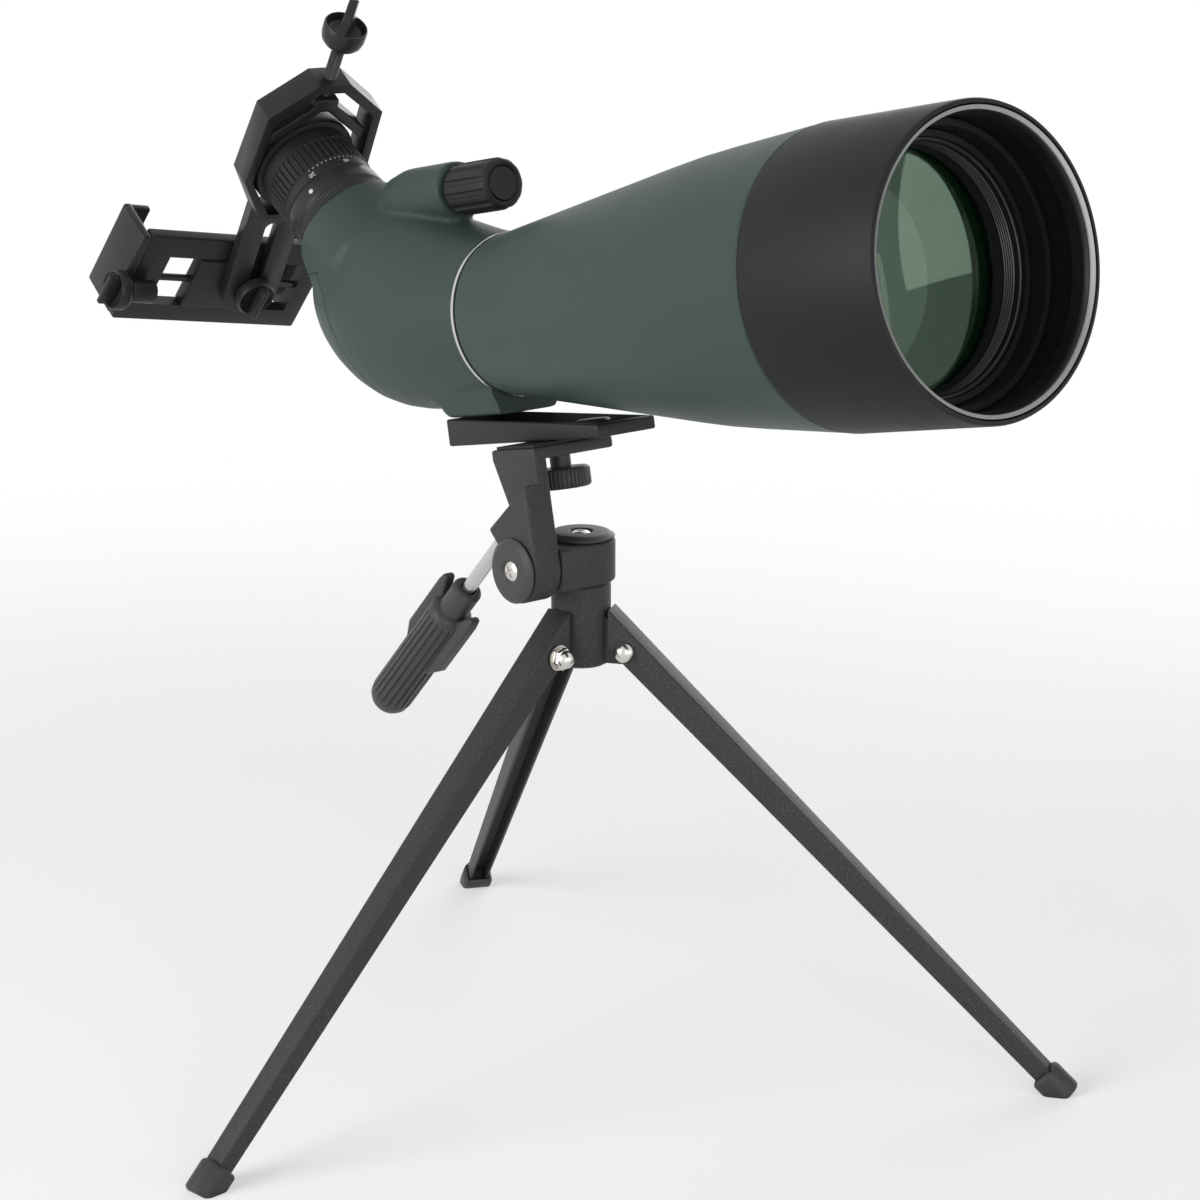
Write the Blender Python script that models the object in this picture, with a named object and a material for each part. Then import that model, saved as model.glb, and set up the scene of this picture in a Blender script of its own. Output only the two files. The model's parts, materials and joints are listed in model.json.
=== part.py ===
"""Spotting scope with an angled zoom eyepiece, a clamp-on phone holder and a folding table tripod.

Sizes are in millimetres and angles in degrees. Meshes are turned into metres as they are made.
Frames (empties) carry the pieces: +X is the way the scope looks, +Y is to its left, +Z is up.
"""

import math

import bmesh
import bpy

MM = 0.001
GAP = 0.3

# Whole object: the pan axis stands off the middle of the footprint by this much
PAN_AXIS = (18.37, 34.7, 0)
SCOPE_TILT = 11.4

# Tripod
HUB_BOTTOM = 140
NECK_RADIUS = 10.2
LEG_COUNT = 3
FIRST_LEG_AZIMUTH = -84.5
LEG_PIVOT_RADIUS = 16.5
LEG_PIVOT_HEIGHT = 146
LEG_DROP = 43.7
LEG_LENGTH = 205.5
LEG_WALL = 1.2
LUG_HALF = 3.7
LUG_ROUND = 4.8
BOLT_RADIUS = 2.0
BOOT_START = 202
BOOT_END = 213.5
BOOT_ROUND = 1.5
BOOT_HALF = 5.6

# Pan and tilt head
PAN_BLOCK = (169.6, 184.0)
PAN_BLOCK_RADIUS = 11.7
PAN_BLOCK_SIDE = -17.2
PAN_DISC_TOP = 186.3
TILT_AXIS_HEIGHT = 176.9
SCREW_BORE = 2.9
SCREW_RADIUS = 2.5
ARM = (17.5, 28.5)
UPPER_WALL_OUT = 22.8
ARM_ROUND = 11.3
ARM_FRONT = 10.9
PLATFORM_BACK = -12.4
PLATFORM_LEFT = 11.4
PLATFORM = (36, 40)
PAD_TOP = 41.0
HANDLE_START = (-9.7, -23, 10.85)
HANDLE_DROP = 35
CAMERA_SCREW = (-4.5, 0)

# Scope, from the middle of the silver trim ring, along the optical axis
SCOPE_ORIGIN = (-33.6, 0, 255.9)
TRIM_RADIUS = 28.2
TUBE_REAR_RADIUS = 27.7
TUBE_KNEE = (113, 42.8)
TUBE_FRONT = (165.6, 46.8)
TUBE_WALL = 2.6
HOOD = (165.9, 222.3)
HOOD_RADIUS = 47
SLEEVE_RADIUS = 43.4
SLEEVE_END = 206
LENS_RADIUS = 38.1
FOOT_BOTTOM = -42.8
FOOT_LENGTH = (-32.5, 50.5)
FOOT_HALF = 12.5
BUSH_X = 12.8
KNOB_HEIGHT = 44.5
KNOB = (-22.6, 1.6)
KNOB_RADIUS = 9

# Eyepiece, along its own axis from where that axis leaves the optical axis
EYEPIECE_X = -52.9
EYEPIECE_RISE = 45
SEAT = 54
SEAT_RADIUS = 21.5
DIAL_START = 67.9
RIBS_START = 71.8
RIBS_END = 82.6
CUP_START = 88.3
CUP_END = 99
BARREL_RADIUS = 14

# Phone holder
CLAMP_START = 86.2
CLAMP_DEPTH = 10.5
CLAMP_YAW = -4.9
CLAMP_ROLL = -2.9
CLAMP_SCREW_RADIUS = 2.4
ARM_MIDDLE = -3
SLOT_HALF = 2.7
HOLDER_AT = (-65, -3, 12)
HOLDER_TURN = 10.1
PLATE_LENGTH = (-50, 32)
PLATE_HEIGHT = (-21.7, 19)
PLATE_DEPTH = 5
WINDOW = (-38, 24)
WINDOW_HEIGHT = (-13.5, 9.5)
ROD_AT = (-2, 2.5)
THUMB_RADIUS = 7.5

# Finishes: colour, roughness, metallic
GREEN_PAINT = ((0.078, 0.105, 0.098), 0.5, 0.0)
BLACK_PAINT = ((0.045, 0.045, 0.046), 0.6, 0.0)
BLACK_PLASTIC = ((0.05, 0.052, 0.053), 0.5, 0.0)
POWDER_COAT = ((0.075, 0.079, 0.079), 0.65, 0.2)
BLACK_RUBBER = ((0.03, 0.03, 0.03), 0.8, 0.0)
BRIGHT_STEEL = ((0.72, 0.72, 0.7), 0.2, 1.0)
NICKEL = ((0.75, 0.74, 0.7), 0.15, 1.0)
BRASS = ((0.72, 0.52, 0.22), 0.3, 1.0)
COATED_GLASS = ((0.1, 0.35, 0.2), 0.03, 0.0)


def frame(name, parent=None, at=(0, 0, 0), turn=(0, 0, 0)):
    """An empty that carries pieces."""
    empty = bpy.data.objects.new(name, None)
    bpy.context.scene.collection.objects.link(empty)
    empty.parent = parent
    empty.location = [value * MM for value in at]
    empty.rotation_euler = [math.radians(angle) for angle in turn]
    return empty


def piece(name, shape, carrier, finish=None, at=(0, 0, 0), turn=(0, 0, 0)):
    """A named object from a bmesh in millimetres. Without a finish it is a hidden cutting tool."""
    bmesh.ops.scale(shape, vec=(MM, MM, MM), verts=shape.verts)
    bmesh.ops.recalc_face_normals(shape, faces=shape.faces)
    mesh = bpy.data.meshes.new(name)
    shape.to_mesh(mesh)
    shape.free()
    mesh.shade_smooth()
    mesh.set_sharp_from_angle(angle=math.radians(35))
    made = bpy.data.objects.new(name, mesh)
    bpy.context.scene.collection.objects.link(made)
    made.parent = carrier
    made.location = [value * MM for value in at]
    made.rotation_euler = [math.radians(angle) for angle in turn]
    if finish is None:
        made.hide_render = True
        made.display_type = "WIRE"
        return made
    colour, roughness, metallic = finish
    material = bpy.data.materials.new(name)
    material.use_nodes = True
    shader = material.node_tree.nodes["Principled BSDF"]
    shader.inputs["Base Color"].default_value = (*colour, 1)
    shader.inputs["Roughness"].default_value = roughness
    shader.inputs["Metallic"].default_value = metallic
    mesh.materials.append(material)
    return made


def combine(target, tool, operation):
    """A live Boolean on the target."""
    modifier = target.modifiers.new(tool.name, "BOOLEAN")
    modifier.operation = operation
    modifier.object = tool


def cut(target, *tools):
    for tool in tools:
        combine(target, tool, "DIFFERENCE")


def join(target, *tools):
    for tool in tools:
        combine(target, tool, "UNION")


def turned(profile, sides=32, flutes=0, depth=0, flutes_from=0):
    """A solid of revolution about Z. The (radius, height) points run once round its section."""
    shape = bmesh.new()
    rings = []
    for radius, height in profile:
        if radius == 0:
            rings.append([shape.verts.new((0, 0, height))])
            continue
        ring = []
        for i in range(sides):
            angle = 2 * math.pi * i / sides
            groove = depth * (0.5 - 0.5 * math.cos(flutes * angle)) if radius > flutes_from else 0
            reach = radius - groove
            ring.append(shape.verts.new((reach * math.cos(angle), reach * math.sin(angle), height)))
        rings.append(ring)
    for ring, following in zip(rings, rings[1:] + rings[:1]):
        for i in range(sides):
            j = (i + 1) % sides
            corners = [ring[i % len(ring)], ring[j % len(ring)]]
            corners += [following[j % len(following)], following[i % len(following)]]
            corners = list(dict.fromkeys(corners))
            if len(corners) > 2:
                shape.faces.new(corners)
    return shape


def rod(radius, low, high, sides=20):
    return turned([(0, low), (radius, low), (radius, high), (0, high)], sides)


def tube(inner, outer, low, high, sides=32):
    return turned([(inner, low), (outer, low), (outer, high), (inner, high)], sides)


def lofted(sections):
    """A closed solid through rings of points that have the same count."""
    shape = bmesh.new()
    rings = [[shape.verts.new(point) for point in section] for section in sections]
    shape.faces.new(rings[0])
    shape.faces.new(rings[-1])
    for ring, following in zip(rings, rings[1:]):
        for i in range(len(ring)):
            j = (i + 1) % len(ring)
            shape.faces.new((ring[i], ring[j], following[j], following[i]))
    return shape


def extruded(outline, low, high):
    """A prism along Z from an outline of (x, y) points."""
    return lofted([[(x, y, height) for x, y in outline] for height in (low, high)])


def block(x, y, z):
    """A box between (low, high) pairs."""
    return extruded([(x[0], y[0]), (x[1], y[0]), (x[1], y[1]), (x[0], y[1])], *z)


def arc(centre, radius, start, end, steps):
    """Points on a circle, from one angle to another."""
    points = []
    for i in range(steps + 1):
        angle = math.radians(start + (end - start) * i / steps)
        points.append((centre[0] + radius * math.cos(angle), centre[1] + radius * math.sin(angle)))
    return points


def soften(target, width, segments=1):
    """A bevel on the sharp edges, before any Boolean."""
    modifier = target.modifiers.new("edges", "BEVEL")
    modifier.width = width * MM
    modifier.segments = segments
    modifier.limit_method = "ANGLE"
    modifier.angle_limit = math.radians(40)


ALONG_X = (0, 90, 0)
ALONG_Y = (-90, 0, 0)
SIDE_ON = (90, 0, 0)


def tripod(floor):
    """Cast hub with three lugs, folding channel legs on bolts with dome nuts, and rubber boots."""
    top = PAN_BLOCK[0] - GAP
    neck = [(0, HUB_BOTTOM), (8.5, HUB_BOTTOM), (NECK_RADIUS, HUB_BOTTOM + 2), (NECK_RADIUS, top), (0, top)]
    hub = piece("hub", turned(neck, 40), floor, POWDER_COAT)
    inner_end = (8.5, LEG_PIVOT_HEIGHT + 12)
    pivot = (LEG_PIVOT_RADIUS, LEG_PIVOT_HEIGHT)
    lug = arc(pivot, LUG_ROUND, -90, 46, 8) + [inner_end, (6, inner_end[1]), (6, HUB_BOTTOM + 1.2)]
    legs = []
    for k in range(LEG_COUNT):
        azimuth = FIRST_LEG_AZIMUTH + 120 * k
        side = frame(f"leg_side_{k + 1}", floor, turn=(0, 0, azimuth))
        at = (LEG_PIVOT_RADIUS, 0, LEG_PIVOT_HEIGHT)
        leg_frame = frame(f"leg_frame_{k + 1}", side, at, (0, LEG_DROP, 0))
        join(hub, piece(f"lug_{k + 1}", extruded(lug, -LUG_HALF, LUG_HALF), side, turn=SIDE_ON))
        legs.append(leg_frame)
    cut(hub, piece("hub_bore", rod(SCREW_BORE, 150, 180), floor))
    for k, leg_frame in enumerate(legs):
        cut(hub, piece(f"lug_bore_{k + 1}", rod(BOLT_RADIUS + GAP, -12, 12, 16), leg_frame, turn=ALONG_Y))
        leg(k + 1, leg_frame, floor)


def channel(x, half, low, high):
    """The section of a leg: a U that opens inward, as points at one place along it."""
    wall = LEG_WALL
    outline = [(-half, low), (-half, high - wall), (-half + wall, high), (half - wall, high)]
    outline += [(half, high - wall), (half, low), (half - wall, low), (half - wall, high - wall)]
    outline += [(-half + wall, high - wall), (-half + wall, low)]
    return [(x(z), y, z) for y, z in outline]


def boot_section(x, inset):
    """Half-round section of a boot, drawn in by an inset."""
    half = BOOT_HALF - inset
    low = inset - 4.2
    return [(x, y, z) for y, z in [(-half, low), (half, low)] + arc((0, 0.6), half, 0, 180, 8)]


def leg(number, leg_frame, floor):
    """One leg with its bolt, nut and boot. Its X axis runs down the leg and +Z faces outward."""
    slope = math.radians(LEG_DROP)
    neck_gap = NECK_RADIUS + 0.6 - LEG_PIVOT_RADIUS

    def beside_neck(z):
        return (neck_gap - z * math.sin(slope)) / math.cos(slope)

    sections = [channel(beside_neck, 5.4, -3.5, 6.5), channel(lambda z: LEG_LENGTH, 3.75, -2.5, 3.5)]
    strut = piece(f"leg_{number}", lofted(sections), leg_frame, POWDER_COAT)
    bore = piece(f"leg_bore_{number}", rod(BOLT_RADIUS + GAP, -12, 12, 16), leg_frame, turn=ALONG_Y)
    cut(strut, bore)
    dome = [(0, -8.4), (2.2, -7.8), (3.4, -6.6), (3.6, -5.8)]
    dome += [(BOLT_RADIUS, -5.8), (BOLT_RADIUS, 9.4), (0, 9.4)]
    piece(f"leg_bolt_{number}", turned(dome, 16), leg_frame, NICKEL, turn=ALONG_Y)
    inside = BOLT_RADIUS + GAP
    nut = [(inside, 5.8), (4.2, 5.8), (4.2, 6.5), (3.5, 6.6), (3.5, 8.8), (2.9, 9.2), (2.8, 10.2)]
    nut += [(1.8, 11.4), (0, 11.8), (0, 10.2), (inside, 10.2)]
    piece(f"dome_nut_{number}", turned(nut, 16), leg_frame, NICKEL, turn=ALONG_Y)
    sections = [(BOOT_START, 0), (BOOT_END - BOOT_ROUND, 0), (BOOT_END, BOOT_ROUND)]
    shape = lofted([boot_section(x, inset) for x, inset in sections])
    boot = piece(f"boot_{number}", shape, leg_frame, BLACK_RUBBER)
    pocket = block((BOOT_START - 3, LEG_LENGTH + GAP), (-4.2, 4.2), (-2.9, 4.1))
    cut(boot, piece(f"boot_pocket_{number}", pocket, leg_frame))
    cut(boot, piece(f"ground_{number}", block((-260, 260), (-260, 260), (-30, 0)), floor))


def pan_head(floor):
    """Pan block that turns on the hub, held by a screw under a capped disc."""
    low, high = PAN_BLOCK
    radius = PAN_BLOCK_RADIUS
    outline = arc((0, 0), radius, 0, 180, 16) + [(-radius, PAN_BLOCK_SIDE), (radius, PAN_BLOCK_SIDE)]
    body = piece("pan_block", extruded(outline, low, high), floor, POWDER_COAT)
    soften(body, 0.6)
    cut(body, piece("pan_bore", rod(SCREW_BORE, low - 2, high + 2), floor))
    tilt_bore = rod(SCREW_BORE, PAN_BLOCK_SIDE - 3, -5)
    cut(body, piece("tilt_bore", tilt_bore, floor, at=(0, 0, TILT_AXIS_HEIGHT), turn=ALONG_Y))
    disc_low = high + GAP
    disc = [(SCREW_BORE, disc_low), (11.3, disc_low), (11.5, disc_low + 0.7), (9.6, PAN_DISC_TOP)]
    disc += [(3.7, PAN_DISC_TOP), (3.7, disc_low + 1), (SCREW_BORE, disc_low + 1)]
    piece("pan_disc", turned(disc), floor, BLACK_PLASTIC)
    seat = disc_low + 1 + GAP
    screw = [(0, 151), (SCREW_RADIUS, 151), (SCREW_RADIUS, seat), (3.3, seat), (3, PAN_DISC_TOP - 0.1)]
    piece("pan_screw", turned(screw + [(0, PAN_DISC_TOP)], 20), floor, NICKEL)


def tilt_head(head):
    """Tilt bracket with its platform, pad, camera screw, side disc, pivot screw and pan handle."""
    bottom = arc((0, 0), ARM_ROUND, 0, -180, 16)
    boss = [(-11, 3), (-7.4, 7.6), (-12, 14.1)]
    outline = [(ARM_FRONT, 28.4)] + bottom + boss
    bracket = piece("head_bracket", extruded(outline, *ARM), head, POWDER_COAT, turn=SIDE_ON)
    wall = [(ARM_FRONT, 12), (ARM_FRONT, 39), (PLATFORM_BACK, 39), (PLATFORM_BACK, 36.5)]
    wall += [(-6.8, 21.5), (-4, 12)]
    upper = piece("upper_wall", extruded(wall, ARM[0], UPPER_WALL_OUT), head, turn=SIDE_ON)
    across = (-UPPER_WALL_OUT, PLATFORM_LEFT)
    platform = piece("platform", block((PLATFORM_BACK, ARM_FRONT), across, PLATFORM), head)
    join(bracket, upper, platform)
    cut(bracket, piece("arm_bore", rod(SCREW_BORE, -35, -10), head, turn=ALONG_Y))
    hole_at = (*CAMERA_SCREW, 0)
    cut(bracket, piece("platform_hole", rod(3.6, 30, 45), head, at=hole_at))
    pad_x = (PLATFORM_BACK + 1.5, ARM_FRONT - 1.5)
    pad_y = (-UPPER_WALL_OUT + 1.5, PLATFORM_LEFT - 1.5)
    pad = piece("platform_pad", block(pad_x, pad_y, (PLATFORM[1] + 0.1, PAD_TOP)), head, BLACK_RUBBER)
    cut(pad, piece("pad_hole", rod(3.6, 30, 45), head, at=hole_at))
    knob = [(0, 24), (9.2, 24), (9.7, 24.6), (9.7, 30.4), (9.2, 31), (3.6, 31), (3.6, 35.6), (3.1, 35.6)]
    shape = turned(knob + [(3.1, 45.2), (2.5, 45.8), (0, 45.8)], 40, 20, 0.7, 9.5)
    piece("camera_screw", shape, head, BLACK_PLASTIC, at=hole_at)
    disc = [(SCREW_BORE, -28.8), (10.9, -28.8), (11, -29.6), (9.2, -31)]
    disc += [(3.9, -31), (3.9, -30), (SCREW_BORE, -30)]
    piece("tilt_disc", turned(disc), head, BLACK_PLASTIC, turn=ALONG_Y)
    screw = [(0, -31), (3, -30.9), (3.4, -30.3), (SCREW_RADIUS, -30.3), (SCREW_RADIUS, -6), (0, -6)]
    piece("tilt_screw", turned(screw, 20), head, NICKEL, turn=ALONG_Y)
    handle = frame("handle_frame", head, HANDLE_START, (0, HANDLE_DROP - 160, 0))
    cut(bracket, piece("handle_bore", rod(SCREW_BORE, -9, 6), handle))
    piece("handle_rod", rod(SCREW_RADIUS, -8, 58), handle, BRIGHT_STEEL)
    grip = [(2.8, 31), (4.6, 31), (5.3, 31.8), (5.3, 44), (6.8, 44)]
    grip += [(7.75, 45.4), (7.75, 97), (7, 100), (5, 102)]
    grip += [(0, 102.7), (0, 59), (2.8, 59)]
    handle_grip = piece("handle_grip", turned(grip, 28), handle, BLACK_PLASTIC)
    for name, side in (("wing_up", 1), ("wing_down", -1)):
        reach = [(side * 5, 44.5), (side * 9, 36), (side * 11, 36), (side * 11.3, 68), (side * 6.5, 74)]
        join(handle_grip, piece(name, extruded(reach, -2.2, 2.2), handle, turn=SIDE_ON))


def optical_tube(scope):
    """Conical tube with the sliding hood, the objective in its cell, and the silver trim ring."""
    knee_x, knee_radius = TUBE_KNEE
    front_x, front_radius = TUBE_FRONT
    sleeve_bore = SLEEVE_RADIUS - 2.4
    shell = [(TUBE_REAR_RADIUS, 0.9), (knee_radius, knee_x), (front_radius, front_x)]
    shell += [(SLEEVE_RADIUS, front_x), (SLEEVE_RADIUS, SLEEVE_END)]
    shell += [(sleeve_bore, SLEEVE_END), (sleeve_bore, front_x - 2)]
    shell += [(knee_radius - TUBE_WALL, knee_x), (TUBE_REAR_RADIUS - TUBE_WALL, 0.9)]
    piece("main_tube", turned(shell, 48), scope, GREEN_PAINT, turn=ALONG_X)
    start, end = HOOD
    bore = SLEEVE_RADIUS + 0.4
    hood = [(bore, start), (HOOD_RADIUS, start), (HOOD_RADIUS, end - 0.8), (HOOD_RADIUS - 0.8, end)]
    hood += [(HOOD_RADIUS - 1.6, end), (HOOD_RADIUS - 1.6, end - 8), (bore, end - 8)]
    piece("hood", turned(hood, 48), scope, BLACK_PAINT, turn=ALONG_X)
    outer = HOOD_RADIUS - 1.9
    ring = [(outer, end - 7.7), (outer, end - 0.4), (outer - 0.6, end - 0.2)]
    ring += [(bore - 1, end - 3), (bore - 1, end - 7.7)]
    piece("hood_ring", turned(ring, 48), scope, BLACK_PAINT, turn=ALONG_X)
    cell_out = SLEEVE_RADIUS - 2.7
    cell = [(36, 172), (cell_out, 172), (cell_out, 200)]
    cell += [(LENS_RADIUS + GAP, 200), (LENS_RADIUS + GAP, 175.5), (36, 175.5)]
    piece("objective_cell", turned(cell, 40), scope, BLACK_PAINT, turn=ALONG_X)
    flint = [(0, 177.6), (20, 177.2), (LENS_RADIUS, 175.8), (LENS_RADIUS, 181), (20, 178.8), (0, 178.2)]
    piece("objective_flint", turned(flint, 36), scope, COATED_GLASS, turn=ALONG_X)
    crown = [(0, 178.6), (20, 179.2), (LENS_RADIUS, 181.5), (LENS_RADIUS, 186), (20, 189), (0, 190)]
    piece("objective_crown", turned(crown, 36), scope, COATED_GLASS, turn=ALONG_X)
    ring = [(36.4, 188.6), (LENS_RADIUS, 186.4), (LENS_RADIUS, 199), (37.4, 199), (36.4, 196)]
    piece("retaining_ring", turned(ring, 48), scope, BLACK_PAINT, turn=ALONG_X)
    inner = TUBE_REAR_RADIUS - TUBE_WALL
    piece("trim_ring", tube(inner, TRIM_RADIUS, -0.6, 0.6, 48), scope, BRIGHT_STEEL, turn=ALONG_X)


BODY_STATIONS = (
    (-0.9, 27.9, -27.9, 27.9),
    (-14, 30.5, -28.6, 29),
    (-30, 36, -30, 29.5),
    (-50, 41.5, -30.5, 29),
    (-70, 43.5, -27, 27.5),
    (-85, 41, -18.5, 24),
    (-95, 34.5, -8.5, 18.5),
    (-102, 28, 2, 12),
    (-106, 22, 10, 5),
)


def body_section(station, inset, sides=32):
    """A rounded section of the prism housing, square to the optical axis."""
    x, top, bottom, half = station
    middle = (top + bottom) / 2
    tall = (top - bottom) / 2 - inset
    wide = half - inset
    points = []
    for i in range(sides):
        angle = 2 * math.pi * i / sides
        across, up = math.cos(angle), math.sin(angle)
        fullness = (abs(across) ** 2.3 + abs(up) ** 2.3) ** (-1 / 2.3)
        points.append((x, wide * across * fullness, middle + tall * up * fullness))
    return points


def housing_body(inset=0.0):
    stations = BODY_STATIONS
    if inset:
        stations = ((0.5, 27.9, -27.9, 27.9),) + BODY_STATIONS[:-1]
    return lofted([body_section(station, inset) for station in stations])


def prism_housing(scope, eyepiece):
    """Moulded housing for the prisms with its rear cover, focus knob boss, eyepiece seat and foot."""
    shell = piece("prism_housing", housing_body(), scope, GREEN_PAINT)
    cone = [(0, 30), (27, 30), (SEAT_RADIUS, SEAT - 1), (SEAT_RADIUS - 1, SEAT), (0, SEAT)]
    seat = piece("eyepiece_seat", turned(cone), eyepiece)
    bump = [(0, -66), (4, -64), (8, -58), (10, -48), (10, -24.4), (9, -23.2), (0, -23.2)]
    boss = piece("knob_boss", turned(bump, 32), scope, at=(0, 0, KNOB_HEIGHT), turn=ALONG_X)
    levels = ((-33, -31.8, 0.6, 12.3), (-29.5, -36, -1.2, 15), (-26, -42, -3, 19))
    flare_rings = [[(a, -w, z), (b, -w, z), (b, w, z), (a, w, z)] for z, a, b, w in levels]
    flare = piece("foot_flare", lofted(flare_rings), scope)
    tenon = piece("foot_tenon", block((-30.6, -1.2), (-10.6, 10.6), (FOOT_BOTTOM + 2.4, -28.4)), scope)
    inner = piece("housing_inside", housing_body(2.6), scope)
    behind = [(-79, 23), (-150, 23), (-150, -90), (-40, -90), (-66, -18), (-76, 8)]
    slab = piece("rear_space", extruded(behind, -60, 60), scope, turn=SIDE_ON)
    cut(shell, inner, slab)
    above_seat = piece("above_seat", rod(30, SEAT - 0.6, SEAT + 30, 32), eyepiece)
    cut(shell, above_seat)
    join(shell, seat, boss, flare, tenon)
    way_out = piece("eyepiece_bore", rod(BARREL_RADIUS + 0.4, 4, SEAT + 4, 32), eyepiece)
    shaft_bore = rod(3.5, -48, -20)
    cut(shell, way_out, piece("shaft_bore", shaft_bore, scope, at=(0, 0, KNOB_HEIGHT), turn=ALONG_X))
    cover = piece("rear_cover", housing_body(), scope, GREEN_PAINT)
    inside_edge = [(x - 0.4, z) for x, z in behind]
    cover_space = piece("cover_space", extruded(inside_edge, -60, 60), scope, turn=SIDE_ON)
    wider = [(radius + 0.4 if radius else 0, height) for radius, height in cone]
    cut(cover_space, piece("seat_clear", turned(wider), eyepiece))
    combine(cover, cover_space, "INTERSECT")
    cut(cover, piece("cover_inside", housing_body(2.6), scope))


def focusing(scope):
    """Fluted focus knob on its shaft, and the sleeve, carriage, lens and prisms inside."""
    at = (0, 0, KNOB_HEIGHT)
    start, end = KNOB
    knob = [(0, start), (7.6, start), (KNOB_RADIUS, start + 1.6), (KNOB_RADIUS, end - 2)]
    knob += [(7.8, end), (6.5, end)]
    knob += [(6.3, end - 1.4), (0, end - 1.4)]
    body = piece("focus_knob", turned(knob, 48, 12, 0.9, 8.5), scope, BLACK_RUBBER, at, ALONG_X)
    cut(body, piece("knob_bore", rod(3.3, start - 2, start + 12), scope, at=at, turn=ALONG_X))
    cap = [(0, end - 1.1), (6, end - 1.1), (5.6, end - 0.2), (0, end)]
    piece("knob_cap", turned(cap, 32), scope, BLACK_PLASTIC, at, ALONG_X)
    piece("focus_shaft", rod(3, -46, start + 11), scope, BRIGHT_STEEL, at, ALONG_X)
    sleeve = [(13, -23), (25.5, -23), (25.5, -20), (22, -20), (22, 12), (20.4, 12), (20.4, -20), (13, -20)]
    piece("prism_holder", turned(sleeve), scope, BLACK_PLASTIC, turn=ALONG_X)
    piece("focus_carriage", tube(16.3, 20, -10, 0), scope, BLACK_PLASTIC, turn=ALONG_X)
    lens = [(0, -7.4), (16, -6), (16, -3.6), (0, -2.4)]
    piece("focus_lens", turned(lens, 32), scope, COATED_GLASS, turn=ALONG_X)
    first = [(-23.6, -14), (-23.6, 14), (-49, 14), (-36, -14)]
    piece("roof_prism", extruded(first, -12.5, 12.5), scope, COATED_GLASS, turn=SIDE_ON)
    second = [(-37.5, -15), (-50, 12), (-62, 12), (-70, -2), (-58, -15)]
    piece("angle_prism", extruded(second, -12, 12), scope, COATED_GLASS, turn=SIDE_ON)


def mounting_foot(scope):
    """Wedge-shaped foot, open on top, with a boss and a threaded bush for a camera screw."""
    back, front = FOOT_LENGTH
    side = [(back, FOOT_BOTTOM), (front, FOOT_BOTTOM), (front, -38.3), (back, -33.3)]
    foot = piece("mounting_foot", extruded(side, -FOOT_HALF, FOOT_HALF), scope, BLACK_PAINT, turn=SIDE_ON)
    pocket = block((back + 1.5, front - 1.5), (-FOOT_HALF + 1.5, FOOT_HALF - 1.5), (FOOT_BOTTOM + 2, -20))
    stub = turned([(0, -42), (6, -42), (6, -38), (5, -37.2), (0, -37.2)], 24)
    boss = piece("foot_boss", stub, scope, at=(33, 0, 0))
    cut(foot, piece("foot_pocket", pocket, scope))
    join(foot, boss)
    cut(foot, piece("bush_hole", rod(5.6, -50, -35), scope, at=(BUSH_X, 0, 0)))
    bush = tube(3.5, 5.3, FOOT_BOTTOM + 0.2, -39.4, 24)
    piece("thread_bush", bush, scope, BRASS, at=(BUSH_X, 0, 0))


def zoom_eyepiece(eyepiece):
    """Eyepiece base, ribbed zoom ring with its dial band, barrel, lenses and rubber eyecup."""
    inner = BARREL_RADIUS + 0.4
    low = SEAT + GAP
    base = [(inner, low), (18.4, low), (18.4, low + 5), (19, low + 5.4)]
    base += [(18.2, DIAL_START - GAP), (inner, DIAL_START - GAP)]
    piece("eyepiece_base", turned(base), eyepiece, BLACK_PLASTIC)
    ring = [(inner, DIAL_START), (17.8, DIAL_START), (18, DIAL_START + 0.5), (18, RIBS_START)]
    ring += [(18.5, RIBS_START + 0.6), (18.5, RIBS_END - 0.6), (18, RIBS_END)]
    ring += [(18, CUP_START - GAP), (inner, CUP_START - GAP)]
    piece("zoom_ring", turned(ring, 64, 32, 0.5, 18.2), eyepiece, BLACK_RUBBER)
    barrel = [(12.5, 46), (BARREL_RADIUS, 46), (BARREL_RADIUS, CUP_END - 2), (11, CUP_END - 2)]
    barrel += [(11, CUP_END - 3.5), (12.5, CUP_END - 3.5)]
    piece("eyepiece_barrel", turned(barrel), eyepiece, BLACK_PLASTIC)
    cup = [(inner, CUP_START), (19.4, CUP_START), (20, CUP_START + 0.8), (20, 94)]
    cup += [(19, CUP_END - 1), (18, CUP_END), (16, CUP_END), (inner, CUP_END - 2)]
    piece("eyecup", turned(cup), eyepiece, BLACK_RUBBER)
    lens = [(0, 89.6), (12.2, 91), (12.2, 93.6), (0, CUP_END - 4)]
    piece("eye_lens", turned(lens, 32), eyepiece, COATED_GLASS)
    group = [(0, 61.5), (9, 62.2), (12.2, 62.2), (12.2, 70), (9, 70), (0, 71)]
    piece("zoom_lens_group", turned(group, 32), eyepiece, COATED_GLASS)


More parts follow.
